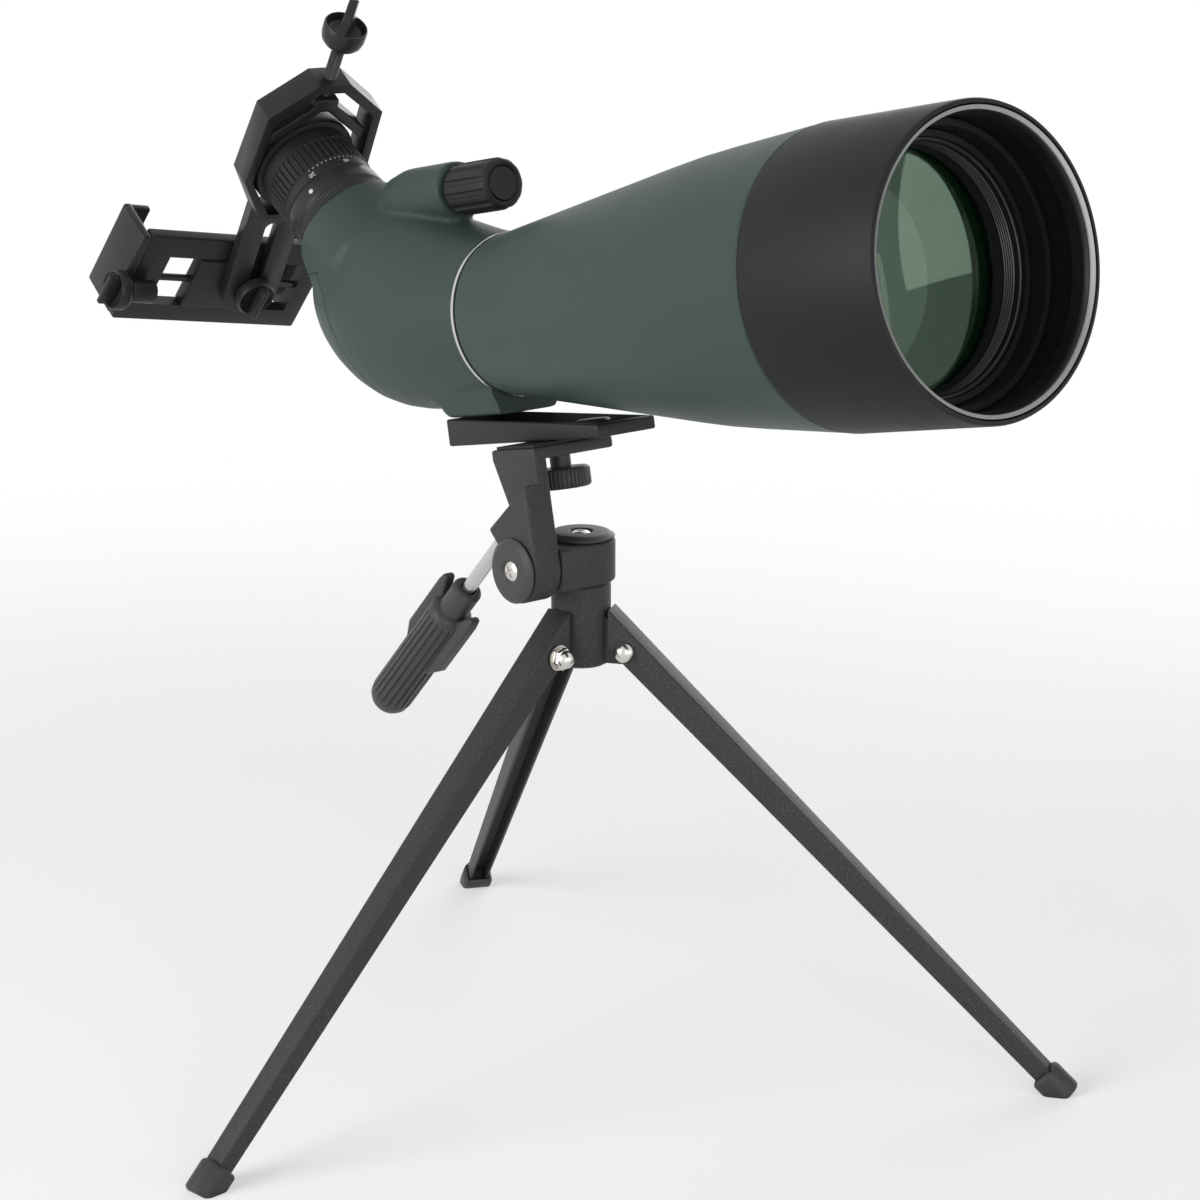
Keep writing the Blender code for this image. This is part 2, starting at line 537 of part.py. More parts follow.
def phone_clamp(clamp):
    """Clamp frame with its slotted arm, V jaw, threaded rod and wing knob. X is up the frame."""
    right = [(38.7, 6.3), (25.1, 23.5), (-4.4, 25), (-24.6, 13)]
    outline = right + [(x, -y) for x, y in reversed(right)]
    body = piece("clamp_frame", extruded(outline, 0, CLAMP_DEPTH), clamp, BLACK_PLASTIC)
    soften(body, 0.5)
    right = [(35, 4.6), (23.2, 20.2), (-5, 21.7), (-21, 11)]
    inside = right + [(x, -y) for x, y in reversed(right)]
    left, high = ARM_MIDDLE - 11.5, ARM_MIDDLE + 11.5
    end = arc((-64.5, ARM_MIDDLE), 11.5, 90, 270, 12)
    arm = [(-19, left), (-19, high)] + end
    join(body, piece("arm", extruded(arm, CLAMP_DEPTH - 4, CLAMP_DEPTH), clamp))
    slot = arc((-34, ARM_MIDDLE), SLOT_HALF, -90, 90, 8) + arc((-66, ARM_MIDDLE), SLOT_HALF, 90, 270, 8)
    screw_at = (0, 0, CLAMP_DEPTH / 2)
    bore = piece("clamp_bore", rod(CLAMP_SCREW_RADIUS + 0.4, 30, 42, 16), clamp, at=screw_at, turn=ALONG_X)
    cut(body, piece("clamp_opening", extruded(inside, -3, CLAMP_DEPTH + 3), clamp), bore)
    cut(body, piece("arm_slot", extruded(slot, 0, CLAMP_DEPTH + 3), clamp))
    upper = [(31, 4.5), (27.6, 4.8), (16.4, 19.2), (11.5, 19.2), (25.4, 1.4)]
    jaw = upper + [(x, -y) for x, y in reversed(upper)]
    piece("clamp_jaw", extruded(jaw, 1.2, CLAMP_DEPTH - 1), clamp, BLACK_PLASTIC)
    screw = rod(CLAMP_SCREW_RADIUS, 31.3, 57.5, 16)
    piece("clamp_screw", screw, clamp, BLACK_PAINT, screw_at, ALONG_X)
    bowl = [(CLAMP_SCREW_RADIUS + GAP, 52.5), (4.6, 52.5), (7.2, 54.6), (8, 57.4), (8, 61.6), (7.2, 61.6)]
    bowl += [(6.2, 59.4), (4.2, 58.9), (0, 58.9), (0, 58), (CLAMP_SCREW_RADIUS + GAP, 58)]
    knob = piece("wing_knob", turned(bowl, 32), clamp, BLACK_PLASTIC, screw_at, ALONG_X)
    half_fin = [(56, 7.5), (61.4, 7.5), (63.2, 5.6), (64.8, 2.6), (72.5, 1.6)]
    fin = half_fin + [(x, -y) for x, y in reversed(half_fin)]
    join(knob, piece("fin", extruded(fin, -1.6, 1.6), clamp, at=screw_at, turn=(45, 0, 0)))
    cut(knob, piece("wing_bore", rod(CLAMP_SCREW_RADIUS + GAP, 50, 58, 16), clamp, at=screw_at, turn=ALONG_X))


def phone_holder(holder):
    """Phone plate on its carriage and rod, with the end jaw and thumbscrews. X is up the plate."""
    low, high = PLATE_LENGTH
    bottom, top = PLATE_HEIGHT
    plate = piece("phone_plate", block((bottom, top), (low, high), (0, PLATE_DEPTH)), holder, BLACK_PLASTIC)
    soften(plate, 0.8)
    stop = piece("plate_stop", block((bottom + 2, top - 2), (high - 4, high - 0.2), (2, 19)), holder)
    lip = piece("plate_lip", block((bottom + 2, top - 2), (high - 13, high - 0.2), (16, 19)), holder)
    join(plate, stop, lip)
    cut(plate, piece("plate_window", block(WINDOW_HEIGHT, WINDOW, (-3, PLATE_DEPTH + 3)), holder))
    rod_v, rod_depth = ROD_AT
    rod_bore = rod(1.7, WINDOW[0] - 3.2, WINDOW[1] + 3.2, 12)
    cut(plate, piece("rod_bore", rod_bore, holder, at=(rod_v, 0, rod_depth), turn=ALONG_Y))
    cut(plate, piece("tongue_slot", block((-12, 6), (low - 3, low + 7.6), (1.5, 3.7)), holder))
    guide = rod(1.4, WINDOW[0] - 3, WINDOW[1] + 3, 12)
    piece("guide_rod", guide, holder, BLACK_PAINT, (rod_v, 0, rod_depth), ALONG_Y)
    window_low, window_high = WINDOW_HEIGHT
    across = (window_low + GAP, window_high - GAP)
    carriage = piece("carriage", block(across, (-24, 14), (-1, PLATE_DEPTH)), holder, BLACK_PLASTIC)
    bore = rod(1.7, -40, 40, 12)
    cut(carriage, piece("carriage_bore", bore, holder, at=(rod_v, 0, rod_depth), turn=ALONG_Y))
    cut(carriage, piece("insert_hole", rod(4, -6, 0.3, 20), holder))
    piece("brass_insert", tube(2.6, 3.7, -1, 0, 20), holder, BRASS)
    head = THUMB_RADIUS
    shaft = [(0, -0.9), (2.2, -0.9), (2.2, -5.9), (head - 0.5, -5.9), (head, -6.6), (head, -10)]
    shaft += [(head - 0.5, -10.6), (0, -10.6)]
    screw = piece("arm_thumbscrew", turned(shaft, 32), holder, BLACK_PLASTIC)
    join(screw, piece("arm_fin", block((1 - head, head - 1), (-1.1, 1.1), (-14.5, -9)), holder))
    jaw = piece("phone_jaw", block((-18, 19), (-54, low - GAP), (-1, 19)), holder, BLACK_PLASTIC)
    soften(jaw, 0.8)
    join(jaw, piece("jaw_lip", block((-17.8, 18.8), (-53.8, -43), (16, 18.8)), holder))
    join(jaw, piece("jaw_tongue", block((-11.6, 5.6), (-52, low + 7), (1.8, 3.4)), holder))
    screw_at = (-3, 0, -5.5)
    join(jaw, piece("screw_boss", rod(4.4, -53.5, -43, 20), holder, at=screw_at, turn=ALONG_Y))
    join(jaw, piece("boss_web", block((-6, 0), (-53.5, low - GAP), (-5.5, 2)), holder))
    cut(jaw, piece("jaw_screw_bore", rod(2.5, -60, -45, 16), holder, at=screw_at, turn=ALONG_Y))
    stem = [(0, -60.5), (head - 0.5, -60.5), (head, -59.8), (head, -55.4), (head - 0.7, -54.4)]
    stem += [(2.2, -54.4), (2.2, -46), (0, -46)]
    thumb = piece("jaw_thumbscrew", turned(stem, 32), holder, BLACK_PLASTIC, screw_at, ALONG_Y)
    join(thumb, piece("jaw_fin", block((1 - head, head - 1), (-64, -59), (-1.1, 1.1)), holder, at=screw_at))


def build():
    for existing in list(bpy.data.objects):
        bpy.data.objects.remove(existing)
    floor = frame("pan_axis", at=PAN_AXIS)
    tripod(floor)
    pan_head(floor)
    head = frame("tilt_axis", floor, (0, 0, TILT_AXIS_HEIGHT), (0, -SCOPE_TILT, 0))
    tilt_head(head)
    scope = frame("optical_axis", floor, SCOPE_ORIGIN, (0, -SCOPE_TILT, 0))
    eyepiece = frame("eyepiece_axis", scope, (EYEPIECE_X, 0, 0), (0, -EYEPIECE_RISE, 0))
    optical_tube(scope)
    prism_housing(scope, eyepiece)
    focusing(scope)
    mounting_foot(scope)
    zoom_eyepiece(eyepiece)
    clamp = frame("clamp_axis", eyepiece, (0, 0, CLAMP_START), (CLAMP_YAW, 0, CLAMP_ROLL))
    phone_clamp(clamp)
    phone_holder(frame("holder_pivot", clamp, HOLDER_AT, (0, 0, HOLDER_TURN)))


build()
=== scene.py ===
"""Looks of the spotting scope, its phone holder and its table tripod, from the ground up."""

import json
import math

import bmesh
import bpy
from mathutils import Matrix, Vector


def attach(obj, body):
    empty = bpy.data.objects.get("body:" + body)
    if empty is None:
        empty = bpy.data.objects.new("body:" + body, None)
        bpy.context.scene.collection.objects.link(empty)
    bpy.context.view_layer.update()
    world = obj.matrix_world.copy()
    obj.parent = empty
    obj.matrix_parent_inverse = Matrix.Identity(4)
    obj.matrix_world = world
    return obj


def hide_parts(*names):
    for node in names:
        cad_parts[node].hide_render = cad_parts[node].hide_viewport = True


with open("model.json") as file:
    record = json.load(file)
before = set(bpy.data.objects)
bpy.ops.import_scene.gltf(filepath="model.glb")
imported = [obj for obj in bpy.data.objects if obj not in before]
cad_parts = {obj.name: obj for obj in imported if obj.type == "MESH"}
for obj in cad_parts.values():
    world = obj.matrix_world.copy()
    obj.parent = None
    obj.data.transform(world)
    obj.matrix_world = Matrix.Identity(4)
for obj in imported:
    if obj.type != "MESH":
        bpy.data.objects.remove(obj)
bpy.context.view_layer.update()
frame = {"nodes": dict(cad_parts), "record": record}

# Hub
# A cast alloy neck with three lugs for the legs. It is sprayed with a dark powder coat that has
# pale specks, and the pan head turns on its top face.
MM = 0.001
HUB_BOTTOM = 140
HUB_TOP = 169.3
NECK_RADIUS = 10.2
LEG_NAMES = ("leg_1", "leg_2", "leg_3")
joints = {joint["name"]: joint for joint in frame["record"]["behaviour"]["joints"]}
pan_place = Matrix.Translation(joints["pan"]["pos_m"])
pan_place.translation.z = 0
SIDE_ON = Matrix.Rotation(math.radians(90), 4, "X")


class Flow:
    """A value in a material. Python's operators on it add Math nodes."""

    def __init__(self, tree, socket):
        self.tree = tree
        self.socket = socket

    def reckon(self, operation, *values):
        node = self.tree.nodes.new("ShaderNodeMath")
        node.operation = operation
        for socket, value in zip(node.inputs, values):
            if isinstance(value, Flow):
                self.tree.links.new(value.socket, socket)
            else:
                socket.default_value = value
        return Flow(self.tree, node.outputs[0])

    def __add__(self, other):
        return self.reckon("ADD", self, other)

    def __sub__(self, other):
        return self.reckon("SUBTRACT", self, other)

    def __rsub__(self, other):
        return self.reckon("SUBTRACT", other, self)

    def __mul__(self, other):
        return self.reckon("MULTIPLY", self, other)

    def __gt__(self, other):
        return self.reckon("GREATER_THAN", self, other)

    __radd__ = __add__
    __rmul__ = __mul__


class Finish:
    """A procedural material round one Principled shader."""

    def __init__(self, name, sockets=()):
        self.material = bpy.data.materials.new(name)
        self.material.use_nodes = True
        self.tree = self.material.node_tree
        self.shader = self.tree.nodes["Principled BSDF"]
        self.where = self.add("ShaderNodeTexCoord", output="Object")
        self.feed(self.shader, {"Specular IOR Level": 0.22, **dict(sockets)})

    def feed(self, node, sockets):
        for name, value in sockets.items():
            socket = node.inputs[name]
            if isinstance(value, Flow):
                self.tree.links.new(value.socket, socket)
            elif isinstance(value, tuple) and len(socket.default_value) == 4:
                socket.default_value = (*value, 1)
            else:
                socket.default_value = value

    def add(self, kind, settings=(), sockets=(), output=0):
        node = self.tree.nodes.new(kind)
        for name, value in dict(settings).items():
            setattr(node, name, value)
        self.feed(node, dict(sockets))
        return Flow(self.tree, node.outputs[output])

    def noise(self, per_metre, detail=3):
        sockets = {"Vector": self.where, "Scale": per_metre, "Detail": detail}
        return self.add("ShaderNodeTexNoise", {}, sockets, "Fac")

    def mix(self, share, low, high):
        settings = {"data_type": "RGBA"}
        node = self.add("ShaderNodeMix", settings, {"Factor": share}, 2).socket.node
        for socket, colour in ((node.inputs[6], low), (node.inputs[7], high)):
            if isinstance(colour, Flow):
                self.tree.links.new(colour.socket, socket)
            else:
                socket.default_value = (*colour, 1)
        return Flow(self.tree, node.outputs[2])

    def emboss(self, height, depth):
        sockets = {"Height": height, "Distance": depth * MM, "Strength": 1.0}
        self.feed(self.shader, {"Normal": self.add("ShaderNodeBump", {}, sockets)})


def grained(name, dark, light, per_metre, roughness, depth, sockets=()):
    """A moulded or sprayed surface with an even fine grain."""
    finish = Finish(name, sockets)
    grain = finish.noise(per_metre)
    wear = finish.noise(40)
    colour = finish.mix(grain * 0.7 + wear * 0.3, dark, light)
    spread = 0.12
    uneven = wear * spread + (roughness - spread / 2)
    finish.feed(finish.shader, {"Base Color": colour, "Roughness": uneven})
    finish.emboss(grain, depth)
    return finish


def speckled(name, dark, light, speck):
    """Powder coat: an orange-peel skin with pale specks in it."""
    finish = grained(name, dark, light, 1500, 0.5, 0.12)
    specks = finish.noise(2600, 1) > 0.68
    base = finish.shader.inputs["Base Color"].links[0].from_socket
    finish.feed(finish.shader, {"Base Color": finish.mix(specks, Flow(finish.tree, base), speck)})
    return finish


def draw(name, points):
    """A chain of edges through points in millimetres, left selected in edit mode."""
    bpy.ops.object.select_all(action="DESELECT")
    bpy.ops.mesh.primitive_plane_add(size=MM)
    piece = bpy.context.object
    piece.name = name
    bpy.ops.object.mode_set(mode="EDIT")
    bpy.ops.mesh.merge(type="CENTER")
    bpy.ops.transform.translate(value=Vector(points[0]) * MM)
    for here, there in zip(points, points[1:]):
        step = (Vector(there) - Vector(here)) * MM
        bpy.ops.mesh.extrude_region_move(TRANSFORM_OT_translate={"value": step})
    bpy.ops.mesh.select_all(action="SELECT")
    return piece


def close_up():
    """Weld the mesh in edit mode, turn its faces outward and leave edit mode."""
    bpy.ops.mesh.select_all(action="SELECT")
    bpy.ops.mesh.remove_doubles(threshold=1e-6)
    bpy.ops.mesh.normals_make_consistent(inside=False)
    bpy.ops.object.mode_set(mode="OBJECT")


def spun(name, profile, steps=96):
    """A turned piece about Z from the (radius, height) points of its section."""
    piece = draw(name, [(radius, 0, height) for radius, height in profile])
    bpy.ops.mesh.spin(steps=steps, angle=2 * math.pi, center=(0, 0, 0), axis=(0, 0, 1))
    close_up()
    return piece


def slab(name, outline, low, high):
    """A flat piece between two heights, from its outline."""
    piece = draw(name, [(x, y, low) for x, y in outline])
    bpy.ops.mesh.edge_face_add()
    bpy.ops.mesh.extrude_region_move(TRANSFORM_OT_translate={"value": (0, 0, (high - low) * MM)})
    close_up()
    return piece


def arc(centre, radius, start, end, steps=12):
    """Points of a circle between two angles."""
    turns = [math.radians(start + (end - start) * i / steps) for i in range(steps + 1)]
    x, y = centre
    return [(x + radius * math.cos(turn), y + radius * math.sin(turn)) for turn in turns]


def pick(piece):
    bpy.ops.object.select_all(action="DESELECT")
    piece.select_set(True)
    bpy.context.view_layer.objects.active = piece


def modify(piece, kind, **settings):
    """Add a modifier and apply it."""
    pick(piece)
    modifier = piece.modifiers.new(kind, kind)
    for name, value in settings.items():
        setattr(modifier, name, value)
    bpy.ops.object.modifier_apply(modifier=modifier.name)
    return piece


def soften(piece, width, segments=3, angle=32):
    """Round the sharp edges."""
    settings = {"limit_method": "ANGLE", "angle_limit": math.radians(angle), "harden_normals": False}
    return modify(piece, "BEVEL", width=width * MM, segments=segments, **settings)


def combine(piece, other, operation):
    modify(piece, "BOOLEAN", operation=operation, object=other, solver="EXACT")
    bpy.data.objects.remove(other)
    return piece


def put(piece, place):
    """Move the mesh itself, so that the object stays at the origin."""
    pick(piece)
    piece.matrix_world = place
    bpy.ops.object.transform_apply(location=True, rotation=True, scale=True)
    return piece


SHARP_ABOVE = math.radians(34)


def settle(piece, place, body, nodes, finish):
    """Place a finished piece and tie it to the CAD body and nodes that it stands for."""
    put(piece, place)
    bpy.ops.object.shade_smooth_by_angle(angle=SHARP_ABOVE)
    piece.data.materials.clear()
    piece.data.materials.append(finish.material)
    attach(piece, body)
    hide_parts(*nodes)
    return piece


COAT_DARK = (0.034, 0.036, 0.036)
COAT_LIGHT = (0.054, 0.057, 0.057)
COAT_SPECK = (0.15, 0.15, 0.15)
powder_coat = speckled("speckled powder coat", COAT_DARK, COAT_LIGHT, COAT_SPECK)
neck = [(0, HUB_BOTTOM), (8.2, HUB_BOTTOM), (9.6, HUB_BOTTOM + 0.8), (NECK_RADIUS, HUB_BOTTOM + 2.4)]
neck += [(NECK_RADIUS, HUB_TOP - 1), (NECK_RADIUS - 0.8, HUB_TOP), (0, HUB_TOP)]
hub = spun("hub_casting", neck)
PIVOT = (16.5, 146)
LUG_HALF = 3.7
LUG_RADIUS = 4.8
lug_outline = arc(PIVOT, LUG_RADIUS, -90, 46) + [(8.5, 158), (6, 158), (6, 141.2)]
for leg in LEG_NAMES:
    axis = Vector(joints[f"{leg}_fold"]["axis"])
    azimuth = math.atan2(-axis.x, axis.y)
    lug = soften(slab("lug", lug_outline, -LUG_HALF, LUG_HALF), 0.5, 2)
    combine(hub, put(lug, Matrix.Rotation(azimuth, 4, "Z") @ SIDE_ON), "UNION")
settle(hub, pan_place, "tripod_hub", ["hub"], powder_coat)

# Legs
# Pressed steel channels that open inward and taper to the foot, powder coated like the hub. Each
# folds on a bolt through its lug.
LEG_DROP = math.radians(43.7)
LEG_TOP = -14
LEG_END = 205.5
LEG_TAPER = (0.69, 0.6, 1)
NECK_GAP = 0.6
CORNER = 1.1
left_corner = arc((-4.3, 5.4), CORNER, 180, 90, 4)
right_corner = arc((4.3, 5.4), CORNER, 90, 0, 4)
channel = [(-5.4, -3.5)] + left_corner + right_corner + [(5.4, -3.5)]
channel += [(4.2, -3.5), (4.2, 5.3), (-4.2, 5.3), (-4.2, -3.5)]
to_neck = Matrix.Translation((0, 0, (NECK_RADIUS + NECK_GAP - PIVOT[0]) * MM))
beside_neck = Matrix.Rotation(-LEG_DROP, 4, "X") @ to_neck
leg_places = {}
for leg in LEG_NAMES:
    joint = joints[f"{leg}_fold"]
    across = Vector(joint["axis"])
    outward = across.cross(Vector((0, 0, 1)))
    down = outward * math.cos(LEG_DROP) - Vector((0, 0, math.sin(LEG_DROP)))
    place = Matrix((across, down.cross(across), down)).transposed().to_4x4()
    place.translation = joint["pos_m"]
    leg_places[leg] = place
    strut = draw("leg_channel", [(x, y, LEG_TOP) for x, y in channel])
    bpy.ops.mesh.edge_face_add()
    length = (LEG_END - LEG_TOP) * MM
    bpy.ops.mesh.extrude_region_move(TRANSFORM_OT_translate={"value": (0, 0, length)})
    bpy.ops.transform.resize(value=LEG_TAPER, center_override=(0, -1 * MM, LEG_END * MM))
    close_up()
    soften(strut, 0.2, 2)
    neck_room = slab("neck_room", [(-20, -20), (20, -20), (20, 20), (-20, 20)], -40, 0)
    combine(strut, put(neck_room, beside_neck), "DIFFERENCE")
    settle(strut, place, leg, [leg], powder_coat)

# Leg bolts and dome nuts
# Nickel-plated pan-head bolts, each closed by a washer and a dome nut that hold the leg tight
# enough to stay where it is set.
nickel = grained("nickel plate", (0.55, 0.53, 0.49), (0.7, 0.68, 0.64), 300, 0.2, 0.01, {"Metallic": 1.0})
LEG_SIDE = 5.7
WASHER_TOP = LEG_SIDE + 0.6
NUT_RADIUS = 3.95 * MM
NUT_THICK = 2.7 * MM
NUT_MIDDLE = 7.7 * MM
FORWARD = Matrix.Rotation(math.radians(90), 4, "Y")


def together(piece, *others):
    """Make several loose shells one piece."""
    pick(piece)
    for other in others:
        other.select_set(True)
    bpy.ops.object.join()
    return piece


bolt = [(0, -8.4), (1.4, -8.3), (2.6, -7.6), (3.4, -6.4), (3.6, -LEG_SIDE), (2, -LEG_SIDE)]
bolt += [(2, 9.4), (0, 9.4)]
washer = [(2.3, LEG_SIDE), (4.4, LEG_SIDE), (4.4, WASHER_TOP), (2.3, WASHER_TOP), (2.3, LEG_SIDE)]
dome = [(0, 8.6), (3.2, 8.6), (3.2, 9.3), (2.9, 10.3), (2.1, 11.3), (1.1, 11.8), (0, 11.95)]
for number, leg in enumerate(LEG_NAMES, 1):
    sideways = leg_places[leg] @ FORWARD
    settle(spun("leg_bolt", bolt, 32), sideways, leg, [f"leg_bolt_{number}"], nickel)
    bpy.ops.mesh.primitive_cylinder_add(vertices=6, radius=NUT_RADIUS, depth=NUT_THICK)
    hexagon = put(bpy.context.object, Matrix.Translation((0, 0, NUT_MIDDLE)))
    soften(hexagon, 0.3, 2)
    nut = together(hexagon, spun("dome", dome, 32), spun("washer", washer, 32))
    nut.name = f"dome_nut_piece_{number}"
    settle(nut, sideways, leg, [f"dome_nut_{number}"], nickel)

# Boots
# Moulded rubber caps pushed over the ends of the legs. Each is hollow for the channel, and its
# underside is cut level so that it stands flat.
boot_rubber = grained("grey-black rubber", (0.04, 0.041, 0.042), (0.065, 0.066, 0.068), 900, 0.5, 0.06)
BOOT = (202, 213.5)
BOOT_ROUND = 1.5
boot_outline = [(-5.6, -4.2), (5.6, -4.2)] + arc((0, 0.6), 5.6, 0, 180)
bore_outline = [(-4.2, -2.9), (4.2, -2.9), (4.2, 4.1), (-4.2, 4.1)]
for number, leg in enumerate(LEG_NAMES, 1):
    boot = slab("boot_cap", boot_outline, *BOOT)
    boot_bore = slab("boot_bore", bore_outline, BOOT[0] - 3, LEG_END + 0.3)
    combine(soften(boot, BOOT_ROUND, 4, 60), boot_bore, "DIFFERENCE")
    settle(boot, leg_places[leg], leg, [f"boot_{number}"], boot_rubber)
    bpy.ops.object.mode_set(mode="EDIT")
    bpy.ops.mesh.select_all(action="SELECT")
    bpy.ops.mesh.bisect(plane_co=(0, 0, 0), plane_no=(0, 0, 1), use_fill=True, clear_inner=True)
    close_up()

# Pan block, disc and screw
# A cast block that turns on the hub. A moulded disc caps the pan screw, and the screw's plated head
# shows in its middle.
moulded = grained("grey-black plastic", (0.05, 0.053, 0.054), (0.078, 0.082, 0.083), 1100, 0.42, 0.04)
PAN_BLOCK = (169.6, 184)
BLOCK_RADIUS = 11.7
BLOCK_SIDE = -17.2
block_outline = arc((0, 0), BLOCK_RADIUS, 0, 180, 40)
block_outline += [(-BLOCK_RADIUS, BLOCK_SIDE), (BLOCK_RADIUS, BLOCK_SIDE)]
block = soften(slab("pan_casting", block_outline, *PAN_BLOCK), 0.9, 3)
settle(block, pan_place, "pan_head", ["pan_block"], powder_coat)
disc = [(3.4, 184.3), (11.1, 184.3), (11.5, 184.7), (11.5, 185.1), (9.8, 186.1), (9.2, 186.3), (4.2, 186.3)]
disc += [(3.9, 186), (3.4, 185.4), (3.4, 184.3)]
settle(spun("pan_cap", disc), pan_place, "pan_head", ["pan_disc"], moulded)


def cross_head(name, radius, height, shank):
    """A pan-head screw with a cross recess. Its head's top is at the given height."""
    head = [(0, height), (radius - 1, height - 0.1), (radius, height - 0.7), (radius, height - 1.2)]
    head += [(2.4, height - 1.2), (2.4, shank), (0, shank)]
    screw = spun(name, head, 40)
    for turn in (0, 90):
        bpy.ops.mesh.primitive_cube_add(size=MM, location=(0, 0, height * MM))
        blade = bpy.context.object
        blade.scale = (radius * 1.25, 0.75, 1.2)
        blade.rotation_euler.z = math.radians(turn + 20)
        combine(screw, blade, "DIFFERENCE")
    return screw


pan_screw = cross_head("pan_screw_head", 3.3, 186.3, 151)
settle(pan_screw, pan_place, "pan_head", ["pan_screw"], nickel)

# Tilt bracket
# A cast arm beside the pan block, with a platform on top for the scope's foot. The round lower end
# pivots on the tilt screw, and a boss behind takes the handle.
ahead = Vector(joints["hood_slide"]["axis"])
left = Vector((0, 1, 0))
tipped = Matrix((ahead, left, ahead.cross(left))).transposed().to_4x4()
head_place = Matrix.Translation(joints["tilt"]["pos_m"]) @ tipped
ARM = (17.5, 28.5)
WALL_OUT = 22.8
ARM_FRONT = 10.9
PLATFORM_BACK = -12.4
PLATFORM_LEFT = 11.4
PLATFORM = (36, 40)
arm_outline = [(ARM_FRONT, 28.4)] + arc((0, 0), 11.3, 0, -180, 40) + [(-11, 3), (-7.4, 7.6), (-12, 14.1)]
bracket = soften(slab("bracket_casting", arm_outline, *ARM), 1.0, 3)
wall_outline = [(ARM_FRONT, 12), (ARM_FRONT, 39), (PLATFORM_BACK, 39), (PLATFORM_BACK, 36.5)]
wall_outline += [(-6.8, 21.5), (-4, 12)]
combine(bracket, soften(slab("wall", wall_outline, ARM[0] + 0.05, WALL_OUT), 0.8, 2), "UNION")
put(bracket, SIDE_ON)
corners = [(PLATFORM_BACK, -WALL_OUT), (ARM_FRONT, -WALL_OUT)]
corners += [(ARM_FRONT, PLATFORM_LEFT), (PLATFORM_BACK, PLATFORM_LEFT)]
combine(bracket, soften(slab("platform", corners, *PLATFORM), 0.8, 2), "UNION")
settle(bracket, head_place, "tilt_head", ["head_bracket"], powder_coat)
rubber = grained("black rubber", (0.012, 0.012, 0.013), (0.026, 0.027, 0.028), 900, 0.5, 0.05)
pad = frame["nodes"]["platform_pad"]
pad.data.materials.clear()
pad.data.materials.append(rubber.material)

# Tilt disc and screw
# A moulded disc on the outside of the arm, with the plated head of the pivot screw in its middle. The
# screw goes through the arm into the pan block.
outward = head_place @ SIDE_ON
disc = [(3.4, 28.8), (10.6, 28.8), (11, 29.2), (11, 29.7), (9.5, 30.8), (8.9, 31), (4.4, 31), (4, 30.7)]
disc += [(3.4, 30.2), (3.4, 28.8)]
settle(spun("tilt_cap", disc), outward, "tilt_head", ["tilt_disc"], moulded)
tilt_screw = cross_head("tilt_screw_head", 3.4, 31, 6)
settle(tilt_screw, outward, "tilt_head", ["tilt_screw"], nickel)

# Camera screw
# A stud with a knurled plastic knob under the platform. It goes up through the platform and pulls the
# foot down on the pad.
CAMERA_SCREW = Vector((-4.5, 0, 0))


def flute(piece, teeth, depth, low, high, radius):
    """Press grooves into the outside of a turned piece between two heights."""
    pick(piece)
    bpy.ops.object.mode_set(mode="EDIT")
    bpy.ops.mesh.select_mode(type="VERT")
    bpy.ops.mesh.select_all(action="DESELECT")
    mesh = bmesh.from_edit_mesh(piece.data)
    for vertex in mesh.verts:
        x, y, z = vertex.co / MM
        share = math.atan2(y, x) / (2 * math.pi) * teeth % 1
        outside = math.hypot(x, y) > radius - 0.3 and low < z < high
        vertex.select = outside and 0.3 < share < 0.7
    mesh.select_flush_mode()
    bmesh.update_edit_mesh(piece.data)
    small = 1 - depth / radius
    bpy.ops.transform.resize(value=(small, small, 1), center_override=(0, 0, 0))
    close_up()
    return piece


knob = [(0, 24), (8.8, 24), (9.5, 24.5), (9.7, 25), (9.7, 30), (9.5, 30.5), (8.8, 31), (3.6, 31)]
knob += [(3.6, 35.6), (3.1, 35.6), (3.1, 45.2), (2.4, 45.8), (0, 45.8)]
camera_screw = flute(spun("camera_screw_knob", knob, 240), 40, 0.5, 24.8, 30.2, 9.7)
place = head_place @ Matrix.Translation(CAMERA_SCREW * MM)
settle(camera_screw, place, "camera_screw", ["camera_screw"], moulded)

# Pan handle
# A bright steel rod screwed into the bracket's boss, with a ribbed plastic grip whose two wings give
# the fingers a hold to twist it.
steel = grained("bright steel", (0.5, 0.5, 0.49), (0.62, 0.62, 0.61), 260, 0.22, 0.004, {"Metallic": 1.0})
twist = joints["handle_twist"]
handle_axis = Vector(twist["axis"])
handle_place = Matrix((left.cross(handle_axis), left, handle_axis)).transposed().to_4x4()
handle_place.translation = twist["pos_m"]
rod = [(0, -8), (2.5, -8), (2.5, 58), (0, 58)]
settle(spun("handle_bar", rod, 48), handle_place, "handle", ["handle_rod"], steel)
grip = [(2.8, 31), (4.4, 31), (5.3, 32), (5.3, 43.4), (6.4, 43.8), (7.4, 44.8), (7.75, 46.5), (7.75, 48.5)]
grip += [(7.75, 94), (7.75, 96.5), (7.3, 99.4), (6.2, 101.4), (4.6, 102.4), (0, 102.7), (0, 59)]
grip += [(2.8, 59), (2.8, 31)]
handle_grip = flute(spun("grip", grip, 160), 20, 0.7, 48, 95, 7.75)
WING_HALF = 2.2
wing = [(5, 44.5), (8.6, 36), (10.6, 36), (11.3, 40), (11.3, 66), (7, 74)]
for side in (1, -1):
    feather = slab("wing", [(side * x, z) for x, z in wing], -WING_HALF, WING_HALF)
    combine(handle_grip, put(soften(feather, 1.2, 3), SIDE_ON), "UNION")
settle(handle_grip, handle_place, "handle", ["handle_grip"], moulded)

